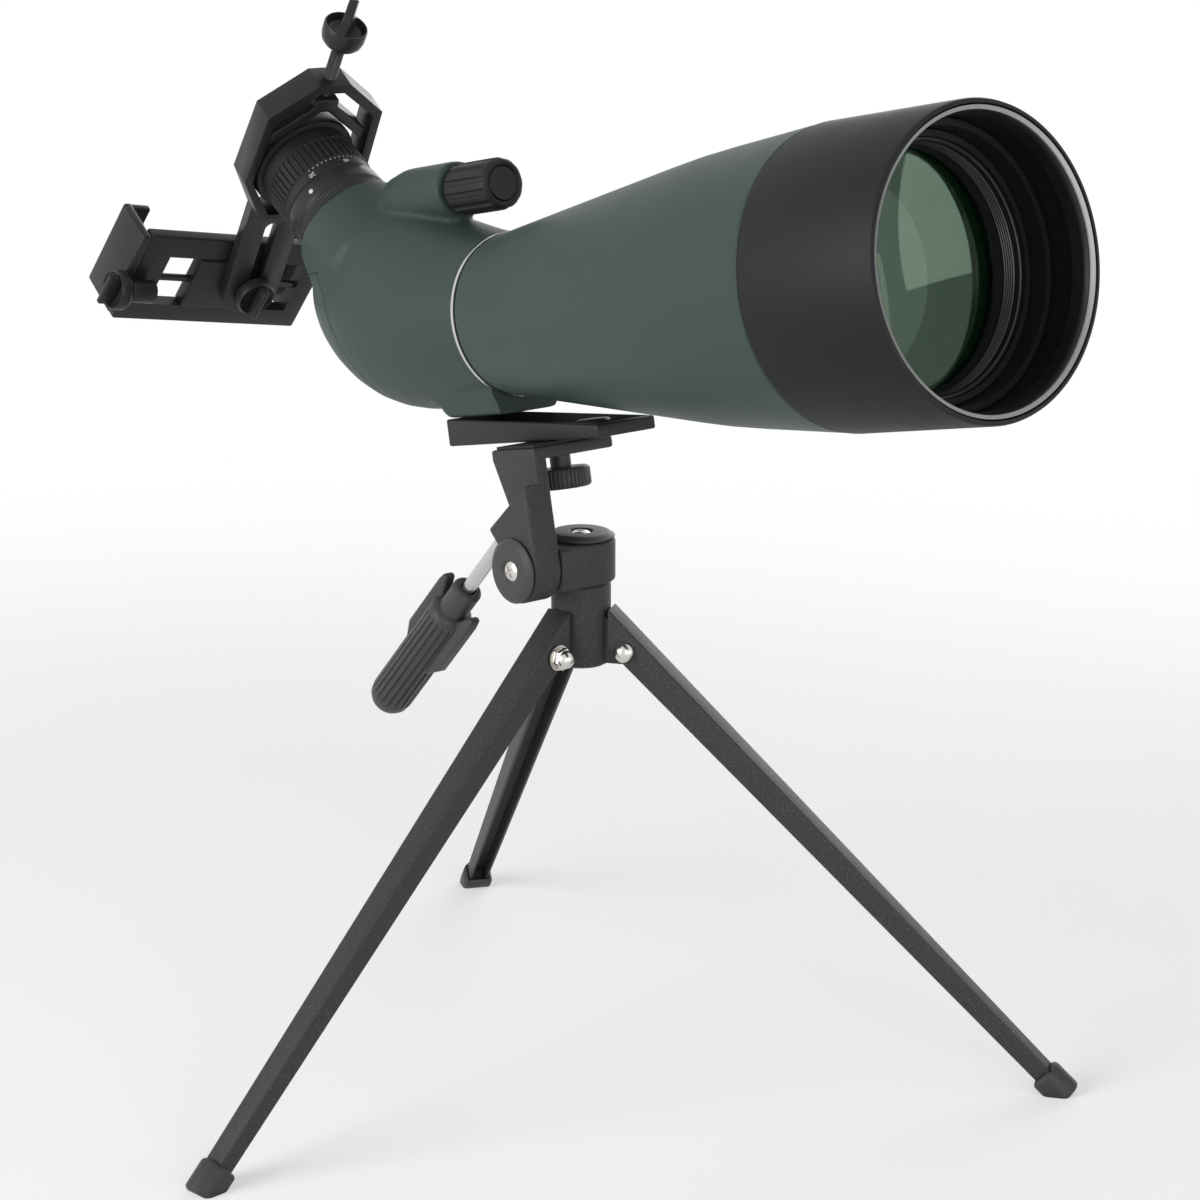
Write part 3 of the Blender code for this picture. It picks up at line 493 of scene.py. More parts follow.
# Mounting foot
# A wedge-shaped moulding, open on top, with a round boss and a brass bush for the camera screw. The
# housing's own foot sits in its rear half.
black_paint = grained("matte black paint", (0.018, 0.0185, 0.019), (0.028, 0.0285, 0.029), 1300, 0.45, 0.02)
brass = grained("turned brass", (0.55, 0.36, 0.12), (0.7, 0.5, 0.2), 400, 0.28, 0.005, {"Metallic": 1.0})
HOOD_REAR = 166
scope_origin = Vector(joints["hood_slide"]["pos_m"]) - ahead * HOOD_REAR * MM
scope_place = Matrix.Translation(scope_origin) @ tipped
FOOT_LENGTH = (-32.5, 50.5)
FOOT_HALF = 12.5
FOOT_BOTTOM = -42.8
foot_outline = [(FOOT_LENGTH[0], FOOT_BOTTOM), (FOOT_LENGTH[1], FOOT_BOTTOM), (FOOT_LENGTH[1], -38.3)]
foot_outline += [(FOOT_LENGTH[0], -33.3)]
foot = put(soften(slab("foot_tray", foot_outline, -FOOT_HALF, FOOT_HALF), 0.8, 3), SIDE_ON)
FOOT_WALL = 1.5
back = FOOT_LENGTH[0] + FOOT_WALL
front = FOOT_LENGTH[1] - FOOT_WALL
half = FOOT_HALF - FOOT_WALL
pocket_outline = [(back, -half), (front, -half), (front, half), (back, half)]
pocket = slab("pocket", pocket_outline, FOOT_BOTTOM + 2, -20)
combine(foot, pocket, "DIFFERENCE")
BOSS_AT = 33
BUSH_AT = 12.8
boss = spun("boss", [(0, -42), (6, -42), (6, -38), (5.4, -37.4), (4.6, -37.2), (0, -37.2)], 64)
combine(foot, put(boss, Matrix.Translation((BOSS_AT * MM, 0, 0))), "UNION")
settle(foot, scope_place, "tilt_head", ["mounting_foot"], black_paint)
bush = [(3.5, -42.6), (5.3, -42.6), (5.3, -39.6), (5.1, -39.4), (3.7, -39.4), (3.5, -39.6), (3.5, -42.6)]
bush_place = scope_place @ Matrix.Translation((BUSH_AT * MM, 0, 0))
settle(spun("bush", bush, 64), bush_place, "tilt_head", ["thread_bush"], brass)

# Prism housing and rear cover
# A moulded housing for the prisms, painted grey-green, with blended shoulders round the focus boss,
# the eyepiece seat and the foot. The rear cover closes it along a curved seam.
green_paint = grained("grey-green paint", (0.041, 0.065, 0.059), (0.052, 0.079, 0.072), 1600, 0.48, 0.02)
KNOB_HEIGHT = 44.5
SEAT = 54
SEAT_RADIUS = 21.5
ZOOM_PIVOT = 78
zoom = joints["zoom_turn"]
look_up = Vector(zoom["axis"])
eyepiece_place = Matrix((left.cross(look_up), left, look_up)).transposed().to_4x4()
eyepiece_place.translation = Vector(zoom["pos_m"]) - look_up * ZOOM_PIVOT * MM
BACKWARD = Matrix.Rotation(math.radians(-90), 4, "Y")
# Each station is a distance back from the trim ring, then the section's top, bottom and half width.
stations = [(-9, 27.4, -27.4, 27.4), (1, 28, -28, 28), (14, 30.5, -28.8, 29), (30, 36, -30.3, 29.8)]
stations += [(50, 41.5, -31, 29.4), (70, 43.8, -27.6, 28), (85, 41.5, -19, 24.6), (95, 35, -9, 19)]
stations += [(102, 28, 2, 12.4), (106, 21, 11, 4.6)]
bpy.ops.object.select_all(action="DESELECT")
bpy.ops.mesh.primitive_circle_add(vertices=64, radius=stations[0][3] * MM, fill_type="NGON")
housing = bpy.context.object
housing.name = "housing_shell"
bpy.ops.object.mode_set(mode="EDIT")
bpy.ops.transform.translate(value=(0, 0, stations[0][0] * MM))
for (was, top, bottom, half), (now, next_top, next_bottom, next_half) in zip(stations, stations[1:]):
    middle = (top + bottom) / 2
    next_middle = (next_top + next_bottom) / 2
    step = Vector((next_middle - middle, 0, now - was)) * MM
    bpy.ops.mesh.extrude_region_move(TRANSFORM_OT_translate={"value": step})
    growth = ((next_top - next_bottom) / (top - bottom), next_half / half, 1)
    bpy.ops.transform.resize(value=growth, center_override=(next_middle * MM, 0, now * MM))
close_up()
modify(housing, "SUBSURF", levels=1)
put(housing, BACKWARD)
seat_cone = [(0, 14), (18, 14), (25.4, 26.5), (26.8, 30), (26.5, 33), (SEAT_RADIUS + 0.6, SEAT - 2)]
seat_cone += [(SEAT_RADIUS, SEAT - 0.4), (0, SEAT - 0.4)]
seat_place = scope_place.inverted() @ eyepiece_place
seat = put(spun("seat", seat_cone), seat_place)
shoulder = [(0, -68), (4, -66), (8, -60), (10.2, -50), (10.2, -23.2), (0, -23.2)]
knob_boss = put(spun("knob_boss", shoulder), Matrix.Translation((0, 0, KNOB_HEIGHT * MM)) @ FORWARD)
footprint = [(-31.8, -12.3), (0.4, -12.3), (0.4, 12.3), (-31.8, 12.3)]
flare = draw("flare", [(x, y, -33.1) for x, y in footprint])
bpy.ops.mesh.edge_face_add()
for rise, growth in ((3.5, (1.06, 1.06, 1)), (4, (1.1, 1.14, 1)), (3, (1, 1, 1))):
    bpy.ops.mesh.extrude_region_move(TRANSFORM_OT_translate={"value": (-1.4 * MM, 0, rise * MM)})
    bpy.ops.transform.resize(value=growth)
close_up()
together(housing, seat, knob_boss, flare)
VOXEL = 0.9
modify(housing, "REMESH", mode="VOXEL", voxel_size=VOXEL * MM)
modify(housing, "SMOOTH", factor=0.5, iterations=14)
front_opening = [(0, -24.2), (25.8, -24.2), (25.8, -0.9), (60, -0.9), (60, 20), (0, 20)]
combine(housing, put(spun("front_opening", front_opening), FORWARD), "DIFFERENCE")
seam = [(-79, 23), (-77.6, 15), (-76, 8), (-72.6, -3), (-66, -18), (-58, -40), (-40, -90)]
SEAM_GAP = 0.35
COVER_TOP = 23
FAR_BACK = -160
pick(housing)
bpy.ops.object.duplicate()
cover = bpy.context.object
cover.name = "rear_shell"
seam_cut = slab("seam_cut", seam + [(FAR_BACK, -90), (FAR_BACK, COVER_TOP)], -60, 60)
combine(housing, put(seam_cut, SIDE_ON), "DIFFERENCE")
inner_top = COVER_TOP - SEAM_GAP
inner_seam = [(x - SEAM_GAP, z) for x, z in seam[1:]]
seam_keep = [(seam[0][0] - SEAM_GAP, inner_top)] + inner_seam + [(FAR_BACK, -90), (FAR_BACK, inner_top)]
combine(cover, put(slab("seam_keep", seam_keep, -60, 60), SIDE_ON), "INTERSECT")
pick(housing)
bpy.ops.object.mode_set(mode="EDIT")
bpy.ops.mesh.select_all(action="SELECT")
bpy.ops.mesh.remove_doubles(threshold=0.1 * MM)
bpy.ops.mesh.quads_convert_to_tris(ngon_method="BEAUTY")
close_up()
settle(housing, scope_place, "tilt_head", ["prism_housing"], green_paint)
settle(cover, scope_place, "tilt_head", ["rear_cover"], green_paint)

# Tube and trim ring
# A spun alloy cone painted like the housing, with a bright ring where they meet and a plain sleeve in
# front that the hood slides on.
SLEEVE = (43.4, 206)
TUBE_END = 165.6
cone = [(25.6, 0.9), (27.2, 0.9), (27.7, 1.4), (41.2, 100), (42.8, 113), (44.1, 128), (46.5, 161)]
cone += [(46.8, 164.9), (46.4, TUBE_END), (42, TUBE_END), (41, 113), (25.6, 0.9)]
along = scope_place @ FORWARD
settle(spun("cone", cone, 160), along, "tilt_head", ["main_tube"], green_paint)
dark_paint = grained("flocked black paint", (0.006, 0.006, 0.0065), (0.012, 0.012, 0.0125), 1500, 0.6, 0.03)
sleeve = [(41, TUBE_END - 3), (42, TUBE_END - 2.9), (42.4, TUBE_END + 0.1), (SLEEVE[0], TUBE_END + 0.1)]
sleeve += [(SLEEVE[0], SLEEVE[1] - 0.4), (SLEEVE[0] - 0.4, SLEEVE[1]), (41, SLEEVE[1]), (41, TUBE_END - 3)]
settle(spun("front_sleeve", sleeve, 160), along, "tilt_head", ["main_tube"], dark_paint)
ring = [(25.1, -0.6), (28, -0.6), (28.2, -0.4), (28.2, 0.4), (28, 0.6), (25.1, 0.6), (25.1, -0.6)]
settle(spun("bright_ring", ring, 160), along, "tilt_head", ["trim_ring"], steel)

# Hood
# A matte black sleeve that pulls forward over the objective. A bevelled ring with a satin machined edge is
# pressed into its mouth; the edge is coloured lighter than the ring to paint in the highlight along its
# chamfer.
hood = [(43.8, 165.9), (46.4, 165.9), (47, 166.5), (47, 221.2), (46.7, 222), (46, 222.3), (45.5, 222.3)]
hood += [(45.4, 222), (45.4, 214.3), (43.8, 214.3), (43.8, 165.9)]
HOOD_DARK = (0.006, 0.0063, 0.0065)
HOOD_LIGHT = (0.011, 0.0114, 0.0118)
hood_paint = grained("matte black hood paint", HOOD_DARK, HOOD_LIGHT, 1300, 0.5, 0.02)
settle(spun("hood_sleeve", hood, 160), along, "hood", ["hood"], hood_paint)
bevel_ring = [(45.1, 214.6), (45.1, 220.7), (43.6, 220.7), (42.9, 219.4), (42.8, 218.6), (42.8, 214.6)]
bevel_ring += [(45.1, 214.6)]
ALLOY_DARK = (0.04, 0.04, 0.041)
ALLOY_LIGHT = (0.06, 0.06, 0.062)
anodised = grained("black anodised alloy", ALLOY_DARK, ALLOY_LIGHT, 900, 0.34, 0.01, {"Metallic": 0.7})
settle(spun("mouth_ring", bevel_ring, 160), along, "hood", ["hood_ring"], anodised)
# Rim line: a machined metal edge whose light grey colour is partly its own and partly a painted highlight
# where the chamfer catches the light.
EDGE_AND_HIGHLIGHT_DARK = (0.22, 0.22, 0.22)
EDGE_AND_HIGHLIGHT_LIGHT = (0.3, 0.3, 0.3)
satin = grained("machined edge with painted highlight", EDGE_AND_HIGHLIGHT_DARK, EDGE_AND_HIGHLIGHT_LIGHT, 700, 0.34, 0.01, {"Metallic": 1.0})
edge = [(45.1, 220.7), (45.1, 221.8), (44.9, 222.05), (43.7, 221.5), (43.5, 221.1), (43.6, 220.7)]
edge += [(45.1, 220.7)]
settle(spun("rim_line", edge, 160), along, "hood", ["hood_ring"], satin)

# Objective
# Two glass elements in an alloy cell, held by a threaded retaining ring with a key notch. Their faces
# have a green anti-reflection coating.
cell = [(36, 172), (40.7, 172), (40.7, 199.6), (40.3, 200), (38.4, 200), (38.4, 175.5), (36, 175.5)]
cell += [(36, 172)]
settle(spun("cell", cell, 128), along, "tilt_head", ["objective_cell"], dark_paint)
LENS_RADIUS = 38.1
GROOVES = 5
GROOVE_PITCH = 0.9
THREAD_TOP = 196.5
threads = []
for groove in range(GROOVES):
    height = THREAD_TOP - groove * GROOVE_PITCH
    threads += [(37.2, height), (36.9, height - 0.25), (36.9, height - 0.65), (37.2, height - GROOVE_PITCH)]
retainer = [(36.4, 188.6), (LENS_RADIUS, 186.4), (LENS_RADIUS, 199), (37.5, 199), (37.2, 198.7)] + threads
retaining_ring = spun("retainer", retainer + [(36.4, 190), (36.4, 188.6)], 128)
notch = slab("notch", [(35.6, -5), (38.6, -5), (38.6, -3.2), (35.6, -3.2)], 194, 202)
combine(retaining_ring, notch, "DIFFERENCE")
settle(retaining_ring, along, "tilt_head", ["retaining_ring"], anodised)


def bowl(edge, middle, steps=8):
    """Points of a lens face from its middle to its edge, as heights of a shallow dish."""
    shares = [i / steps for i in range(steps + 1)]
    return [(LENS_RADIUS * share, middle + (edge - middle) * share**2) for share in shares]


def coated_glass(name, sockets):
    """Dark glass with a green coating."""
    polish = {"Roughness": 0.02, "Specular IOR Level": 0.5, "Specular Tint": (0.7, 1.0, 0.76)}
    coating = {"Coat Weight": 1.0, "Coat Roughness": 0.02, "Coat Tint": (0.8, 1.0, 0.86)}
    finish = Finish(name, {**polish, **coating, **sockets})
    depths = finish.mix(finish.noise(18, 1), (0.004, 0.016, 0.008), (0.01, 0.032, 0.016))
    finish.feed(finish.shader, {"Base Color": depths})
    return finish


crown = bowl(186, 190) + list(reversed(bowl(184.6, 178.6)))
front_glass = coated_glass("coated front glass", {"Alpha": 0.3, "IOR": 1.6})
crown_glass = spun("crown_glass", crown, 128)
settle(crown_glass, along, "tilt_head", ["objective_crown"], front_glass)
flint = bowl(184.3, 178.2) + list(reversed(bowl(175.8, 177.6)))
rear_glass = coated_glass("coated rear glass", {"IOR": 2.2})
flint_glass = spun("flint_glass", flint, 96)
settle(flint_glass, along, "tilt_head", ["objective_flint"], rear_glass)

# Focus knob
# A rubber-covered knob with round flutes over the housing's front, on a steel shaft. A plain satin cap
# fills the recess in its front face.
knob_place = scope_place @ Matrix.Translation((0, 0, KNOB_HEIGHT * MM)) @ FORWARD
knob = [(0, -22.6), (7.4, -22.6), (8.4, -22), (9, -20.8), (9, -20.2), (9, -1.2), (9, -0.6), (8.6, 0.8)]
knob += [(7.8, 1.5), (7, 1.6), (6.5, 1.4), (6.3, 0.2), (0, 0.2)]
focus_knob = flute(spun("knob_cover", knob, 144), 12, 1.0, -21.2, 0, 9)
modify(focus_knob, "SMOOTH", factor=0.5, iterations=2)
settle(focus_knob, knob_place, "focus_knob", ["focus_knob"], rubber)
satin_plastic = grained("satin black plastic", (0.01, 0.01, 0.011), (0.018, 0.018, 0.019), 500, 0.34, 0.004)
cap = [(0, 0.5), (6, 0.5), (6, 1), (5.6, 1.35), (0, 1.5)]
settle(spun("knob_badge", cap, 64), knob_place, "focus_knob", ["knob_cap"], satin_plastic)

# Eyepiece
# A knurled lower ring and a plain base with a white index dot, then the zoom ring: a dial band with
# plain numbers, a ribbed rubber grip and a plain collar. A soft rubber cup closes the top.
PLASTIC_DARK = (0.018, 0.019, 0.0187)
PLASTIC_LIGHT = (0.03, 0.0316, 0.031)
dark_plastic = grained("deep black plastic", PLASTIC_DARK, PLASTIC_LIGHT, 1100, 0.36, 0.03)
white = grained("white index paint", (0.7, 0.7, 0.68), (0.8, 0.8, 0.78), 600, 0.5, 0.01)
base = [(14.4, 54.3), (18, 54.3), (18.4, 54.7), (18.4, 55.2), (18.4, 58.8), (18.4, 59.3), (18.9, 59.9)]
base += [(19, 60.4), (18.4, 66.8), (18.1, 67.5), (14.4, 67.5), (14.4, 54.3)]
eyepiece_base = flute(spun("lower_ring", base, 384), 96, 0.24, 55, 59, 18.4)
settle(eyepiece_base, eyepiece_place, "tilt_head", ["eyepiece_base"], dark_plastic)
dot = spun("index_dot", [(0, -0.2), (0.9, -0.2), (0.9, 0.1), (0.7, 0.2), (0, 0.22)], 32)
DOT_TURN = math.radians(-58)
DOT_AT = Vector((18.7, 0, 63.6))
on_side = Matrix.Rotation(DOT_TURN, 4, "Z") @ Matrix.Translation(DOT_AT * MM) @ FORWARD
settle(dot, eyepiece_place @ on_side, "tilt_head", ["eyepiece_base"], white)
collar = [(14.4, 67.9), (17.7, 67.9), (18, 68.2), (18, 71.6), (18.5, 72.1), (18.5, 72.5), (18.5, 81.9)]
collar += [(18.5, 82.3), (18, 82.8), (18, 87.7), (17.7, 88), (14.4, 88), (14.4, 67.9)]
RIBS = 48
zoom_ring = flute(spun("zoom_grip", collar, RIBS * 6), RIBS, 0.7, 72.3, 82.1, 18.5)
settle(zoom_ring, eyepiece_place, "zoom_ring", ["zoom_ring"], rubber)
DIAL_RADIUS = 18
DIAL_END = 46
TICKS = 17
TICK_HEIGHT = 71.5
NUMBER_HEIGHT = 69.3
NUMBER_SIZE = 2.4
PAINT = 0.12
readable = Matrix(((0, 0, 1), (-1, 0, 0), (0, -1, 0))).to_4x4()


def on_dial(turn, height):
    """A place on the dial band, facing outward."""
    out = Matrix.Translation((DIAL_RADIUS * MM, 0, height * MM))
    return Matrix.Rotation(math.radians(turn), 4, "Z") @ out @ readable


ticks = []
for step in range(TICKS):
    tick = slab("dial_ticks", [(-0.14, -0.3), (0.14, -0.3), (0.14, 0.3), (-0.14, 0.3)], -PAINT, PAINT)
    ticks.append(put(tick, on_dial(-DIAL_END + step * 2 * DIAL_END / (TICKS - 1), TICK_HEIGHT)))
settle(together(*ticks), eyepiece_place, "zoom_ring", ["zoom_ring"], white)
for number, turn in (("20", -DIAL_END), ("40", 0), ("60", DIAL_END)):
    bpy.ops.object.select_all(action="DESELECT")
    bpy.ops.object.text_add()
    lettering = bpy.context.object.data
    lettering.body = number
    lettering.size = NUMBER_SIZE * MM
    lettering.extrude = PAINT * MM
    lettering.align_x = "CENTER"
    lettering.align_y = "CENTER"
    bpy.ops.object.convert(target="MESH")
    figure = bpy.context.object
    figure.name = f"dial_{number}"
    figure_place = eyepiece_place @ on_dial(turn, NUMBER_HEIGHT)
    settle(figure, figure_place, "zoom_ring", ["zoom_ring"], white)
cup = [(14.4, 88.3), (19, 88.3), (19.8, 88.7), (20, 89.6), (20, 93.4), (19.4, 95), (19.2, 97.6)]
cup += [(18.6, 98.7), (17.8, 99), (16.8, 98.7), (15.4, 97.4), (14.4, 97), (14.4, 88.3)]
settle(spun("soft_cup", cup, 128), eyepiece_place, "tilt_head", ["eyecup"], rubber)

# Phone clamp
# A moulded frame round the eyepiece with a slotted arm below it. A wing knob on a threaded rod presses
# a V jaw on the eyecup.
up_frame = Vector(joints["clamp_screw_turn"]["axis"])
away = Vector(joints["holder_swing"]["axis"])
clamp_place = Matrix((up_frame, away.cross(up_frame), away)).transposed().to_4x4()
CLAMP_DEPTH = 10.5
SCREW_PIVOT = 45
to_pivot = (up_frame * SCREW_PIVOT + away * CLAMP_DEPTH / 2) * MM
clamp_place.translation = Vector(joints["clamp_screw_turn"]["pos_m"]) - to_pivot
ARM_MIDDLE = -3
ARM_HALF = 11.5
SLOT_HALF = 2.7
half_frame = [(38.7, 6.3), (25.1, 23.5), (-4.4, 25), (-24.6, 13)]
half_hole = [(35, 4.6), (23.2, 20.2), (-5, 21.7), (-21, 11)]
clamp_frame = slab("hex_frame", half_frame + [(x, -y) for x, y in reversed(half_frame)], 0, CLAMP_DEPTH)
arm_outline = [(-19, ARM_MIDDLE - ARM_HALF), (-19, ARM_MIDDLE + ARM_HALF)]
arm_outline += arc((-64.5, ARM_MIDDLE), ARM_HALF, 90, 270, 32)
combine(clamp_frame, slab("arm", arm_outline, CLAMP_DEPTH - 4, CLAMP_DEPTH - 0.05), "UNION")
hole = slab("hole", half_hole + [(x, -y) for x, y in reversed(half_hole)], -3, CLAMP_DEPTH + 3)
combine(clamp_frame, hole, "DIFFERENCE")
slot_ends = arc((-34, ARM_MIDDLE), SLOT_HALF, -90, 90) + arc((-66, ARM_MIDDLE), SLOT_HALF, 90, 270)
combine(clamp_frame, slab("slot", slot_ends, 0, CLAMP_DEPTH + 3), "DIFFERENCE")
soften(clamp_frame, 0.5, 2, 40)
settle(clamp_frame, clamp_place, "tilt_head", ["clamp_frame"], dark_plastic)
half_jaw = [(31, 4.5), (27.6, 4.8), (16.4, 19.2), (11.5, 19.2), (25.4, 1.4)]
jaw_outline = half_jaw + [(x, -y) for x, y in reversed(half_jaw)]
jaw = soften(slab("v_jaw", jaw_outline, 1.2, CLAMP_DEPTH - 1), 0.7, 3)
settle(jaw, clamp_place, "clamp_jaw", ["clamp_jaw"], dark_plastic)
THREAD_TURNS = 32
THREAD_PITCH = 0.8
thread = []
for turn in range(THREAD_TURNS):
    height = 31.6 + turn * THREAD_PITCH
    thread += [(2.4, height), (2.05, height + THREAD_PITCH / 2)]
screw_place = clamp_place @ Matrix.Translation((0, 0, CLAMP_DEPTH / 2 * MM)) @ FORWARD
OXIDE_DARK = (0.03, 0.03, 0.03)
OXIDE_LIGHT = (0.06, 0.06, 0.06)
black_oxide = grained("blackened steel", OXIDE_DARK, OXIDE_LIGHT, 500, 0.35, 0.01, {"Metallic": 0.7})
threaded_rod = spun("threaded_rod", [(0, 31.3)] + thread + [(2.05, 57.5), (0, 57.5)], 40)
settle(threaded_rod, screw_place, "clamp_screw", ["clamp_screw"], black_oxide)
cup_shape = [(0, 52.5), (4.2, 52.5), (6, 53.4), (7.3, 54.9), (7.9, 57), (8, 61), (7.7, 61.6), (7.3, 61.5)]
cup_shape += [(6.9, 60.6), (6, 59.4), (4.4, 58.9), (0, 58.8)]
wing_knob = spun("wing_cup", cup_shape, 64)
half_fin = [(56, 7.5), (61.4, 7.5), (62.6, 6.4), (63.4, 4.6), (64.6, 2.7), (67, 2), (72, 1.6), (72.5, 1.1)]
FIN_HALF = 1.6
FIN_TURN = Matrix.Rotation(math.radians(45), 4, "X")
wings = slab("fin", half_fin + [(x, -y) for x, y in reversed(half_fin)], -FIN_HALF, FIN_HALF)
soften(wings, 0.7, 3)
combine(wing_knob, put(wings, BACKWARD @ FIN_TURN), "UNION")
settle(wing_knob, screw_place, "clamp_screw", ["wing_knob"], dark_plastic)

# Phone plate
# A moulded plate behind the arm that carries the phone. A carriage with a brass insert rides in its
# window on a blackened guide rod, and the arm's thumbscrew locks it.
along_plate = -Vector(joints["phone_jaw_slide"]["axis"])
holder_place = Matrix((along_plate.cross(away), along_plate, away)).transposed().to_4x4()
holder_place.translation = joints["holder_swing"]["pos_m"]
PLATE_LENGTH = (-50, 32)
PLATE_HEIGHT = (-21.7, 19)
PLATE_DEPTH = 5
LENGTHWISE = Matrix.Rotation(math.radians(-90), 4, "X")


def bar(name, x, y, z, edge):
    """A block with rounded edges between (low, high) pairs."""
    return soften(slab(name, [(x[0], y[0]), (x[1], y[0]), (x[1], y[1]), (x[0], y[1])], *z), edge, 3)


plate = bar("plate", PLATE_HEIGHT, PLATE_LENGTH, (0, PLATE_DEPTH), 1.0)
inset_height = (PLATE_HEIGHT[0] + 2, PLATE_HEIGHT[1] - 2)
combine(plate, bar("stop", inset_height, (28, 31.8), (2, 19), 0.8), "UNION")
combine(plate, bar("lip", inset_height, (19, 31.7), (16, 18.9), 0.8), "UNION")
window = slab("window", [(-13.5, -38), (9.5, -38), (9.5, 24), (-13.5, 24)], -3, PLATE_DEPTH + 3)
combine(plate, window, "DIFFERENCE")
settle(plate, holder_place, "phone_plate", ["phone_plate"], dark_plastic)
GUIDE_AT = Vector((-2, 0, 2.5))
guide_place = holder_place @ Matrix.Translation(GUIDE_AT * MM) @ LENGTHWISE
guide = spun("guide", [(0, -41), (1.4, -41), (1.4, 27), (0, 27)], 32)
settle(guide, guide_place, "phone_plate", ["guide_rod"], black_oxide)
carriage = bar("carriage_block", (-13.2, 9.2), (-24, 14), (-1, PLATE_DEPTH), 0.6)
settle(carriage, holder_place, "carriage", ["carriage"], dark_plastic)
insert = spun("insert", [(2.6, -1.2), (3.7, -1.2), (3.7, 0), (2.6, 0), (2.6, -1.2)], 48)
settle(insert, holder_place, "carriage", ["brass_insert"], brass)
THUMB_RADIUS = 7.5


def thumbscrew(name, stem):
    """A round moulded head with a finger fin across it. Its axis is Z and the fin is at the low end."""
    head = [(0, 2.2), (4.6, 2), (6, 1.2), (6.6, 0.2), (7.1, 0), (THUMB_RADIUS, 0.6), (THUMB_RADIUS, 4)]
    head += [(7, 4.7), (2.2, 4.7), (2.2, stem), (0, stem)]
    screw = spun(name, head, 80)
    reach = THUMB_RADIUS - 1
    combine(screw, bar("fin", (-reach, reach), (-1.1, 1.1), (-3.8, 2), 0.7), "UNION")
    return screw


ARM_SCREW_DEPTH = -10.7
arm_screw_place = holder_place @ Matrix.Translation((0, 0, ARM_SCREW_DEPTH * MM))
arm_screw = thumbscrew("arm_screw", 9.8)
settle(arm_screw, arm_screw_place, "arm_thumbscrew", ["arm_thumbscrew"], dark_plastic)

# Phone jaw
# The sliding end of the holder: a moulded hook that grips the phone's edge, moved by its own
# thumbscrew through the boss in front.
phone_jaw = bar("hook", (-18, 19), (-54, -50.3), (-1, 19), 1.2)
combine(phone_jaw, bar("hook_lip", (-17.8, 18.8), (-53.8, -43), (16, 18.8), 1.0), "UNION")
combine(phone_jaw, bar("tongue", (-11.6, 5.6), (-52, -43), (1.8, 3.4), 0.2), "UNION")
JAW_SCREW_AT = Vector((-3, 0, -5.5))
JAW_SCREW_START = -60.4
jaw_screw_line = Matrix.Translation(JAW_SCREW_AT * MM) @ LENGTHWISE
sleeve = spun("sleeve", [(0, -53.5), (4.2, -53.5), (4.4, -53), (4.4, -43.4), (4, -43), (0, -43)], 64)
combine(phone_jaw, put(sleeve, jaw_screw_line), "UNION")
combine(phone_jaw, bar("web", (-6, 0), (-53.4, -50.4), (-5.5, 2), 0.3), "UNION")
settle(phone_jaw, holder_place, "phone_jaw", ["phone_jaw"], dark_plastic)
jaw_screw = put(thumbscrew("jaw_screw", 14), Matrix.Translation((0, 0, JAW_SCREW_START * MM)))
jaw_screw_place = holder_place @ jaw_screw_line
settle(jaw_screw, jaw_screw_place, "jaw_thumbscrew", ["jaw_thumbscrew"], dark_plastic)

# Inside
# Pieces behind the glass and the covers keep their engineering shape: the prisms, the focusing and
# zooming groups, the barrel and the shaft.
inside = {
    "focus_shaft": (steel, "bright_steel"),
    "prism_holder": (dark_plastic, "black_plastic"),
    "focus_carriage": (dark_plastic, "black_plastic"),
    "focus_lens": (rear_glass, "coated_glass"),
    "roof_prism": (rear_glass, "coated_glass"),
    "angle_prism": (rear_glass, "coated_glass"),
    "eyepiece_barrel": (dark_plastic, "black_plastic"),
    "eye_lens": (rear_glass, "coated_glass"),
    "zoom_lens_group": (rear_glass, "coated_glass"),
}
for name, (finish, slot) in inside.items():
    node = frame["nodes"][name]
    node.data.materials.clear()
    node.data.materials.append(finish.material)

# Studio
# A pale paper floor under four soft lamps. The surround is white to the camera, the gloss and the
# glass, and adds only a little light of its own.
bpy.ops.object.select_all(action="DESELECT")
bpy.ops.mesh.primitive_plane_add(size=8)
floor = bpy.context.object
floor.name = "studio_floor"
PAPER_DARK = (0.86, 0.86, 0.86)
PAPER_LIGHT = (0.9, 0.9, 0.9)
paper = grained("studio paper", PAPER_DARK, PAPER_LIGHT, 3, 0.8, 0.0, {"Emission Strength": 0.4})


def seen_white(tree):
    """One for rays that show the surround itself, also in metal and glass, and nothing for its light."""
    rays = tree.nodes.new("ShaderNodeLightPath")
    kinds = ("Is Camera Ray", "Is Glossy Ray", "Is Transmission Ray")
    return sum(Flow(tree, rays.outputs[kind]) for kind in kinds) > 0.5


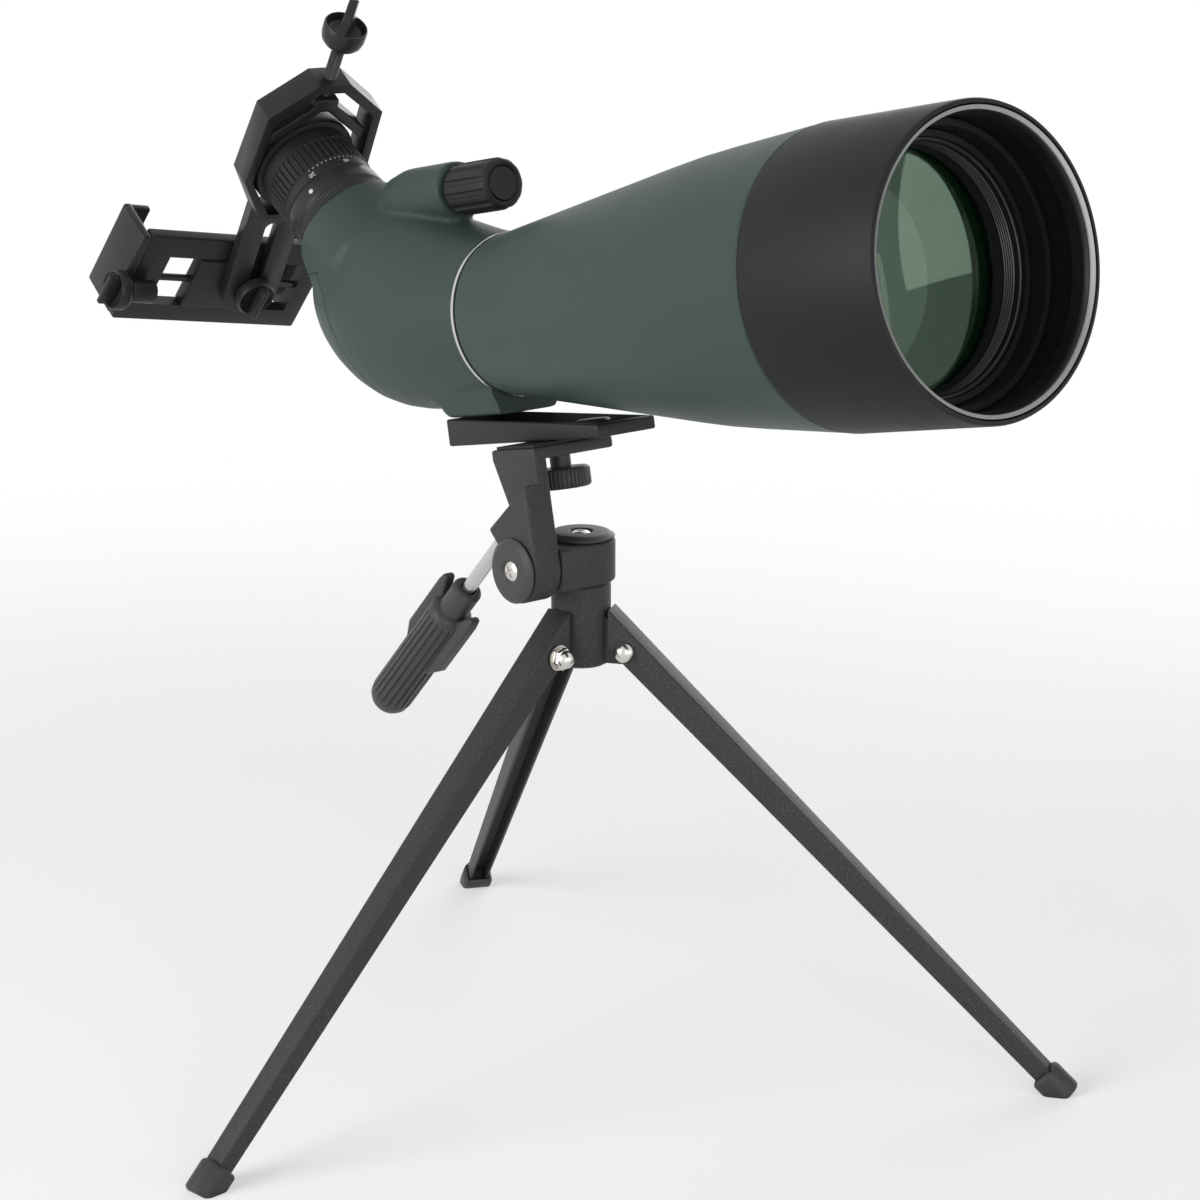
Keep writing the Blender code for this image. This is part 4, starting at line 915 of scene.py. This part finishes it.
reach = paper.add("ShaderNodeVectorMath", {"operation": "LENGTH"}, {0: paper.where}, "Value")
fade = {"Value": reach, "From Min": 0.3, "From Max": 0.95, "To Min": 1.0, "To Max": 0.0}
faded = paper.add("ShaderNodeMapRange", {"interpolation_type": "SMOOTHSTEP"}, fade)
glow = paper.mix(seen_white(paper.tree), (0, 0, 0), (1, 1, 1))
paper.feed(paper.shader, {"Emission Color": glow, "Alpha": faded})
floor.data.materials.append(paper.material)
world = bpy.data.worlds.new("studio")
bpy.context.scene.world = world
world.use_nodes = True
sky = world.node_tree
SKY_LIGHT = 0.14
strength = seen_white(sky) * (1 - SKY_LIGHT) + SKY_LIGHT
sky.links.new(strength.socket, sky.nodes["Background"].inputs["Strength"])
sky.nodes["Background"].inputs["Color"].default_value = (1, 1, 1, 1)
lens_middle = scope_place @ Vector((190 * MM, 0, 0))
for name, spot, aim, power, width, height in (
    ("key", (-0.2, -1.5, 0.6), (0, 0, 0.2), 17, 1.0, 1.0),
    ("front", (1.7, -0.6, 0.5), (0, 0, 0.2), 9, 0.9, 1.0),
    ("window", (1.29, 0.51, 0.29), lens_middle, 2.2, 0.64, 0.54),
    ("back", (-0.7, 1.5, 0.6), (0, 0, 0.25), 9, 1.2, 1.2),
):
    bpy.ops.object.light_add(type="AREA", location=spot)
    lamp = bpy.context.object
    lamp.name = name
    lamp.data.shape = "RECTANGLE"
    lamp.data.energy = power
    lamp.data.size = width
    lamp.data.size_y = height
    lamp.rotation_euler = (Vector(aim) - Vector(spot)).to_track_quat("-Z", "Y").to_euler()

# Camera
# It stands where the photograph was taken from, with the same aim and lens. Nothing is out of focus.
CAMERA_FROM_PAN_AXIS = Vector((800.48, -656.36, 439.10))
AIM = Vector((-0.743, 0.617, -0.2586))
LENS = 94.39
bpy.ops.object.camera_add(location=pan_place.translation + CAMERA_FROM_PAN_AXIS * MM)
camera = bpy.context.object
camera.rotation_euler = AIM.to_track_quat("-Z", "Y").to_euler()
camera.data.lens = LENS
camera.data.sensor_width = 36
bpy.context.scene.camera = camera
bpy.context.scene.view_settings.view_transform = "Standard"

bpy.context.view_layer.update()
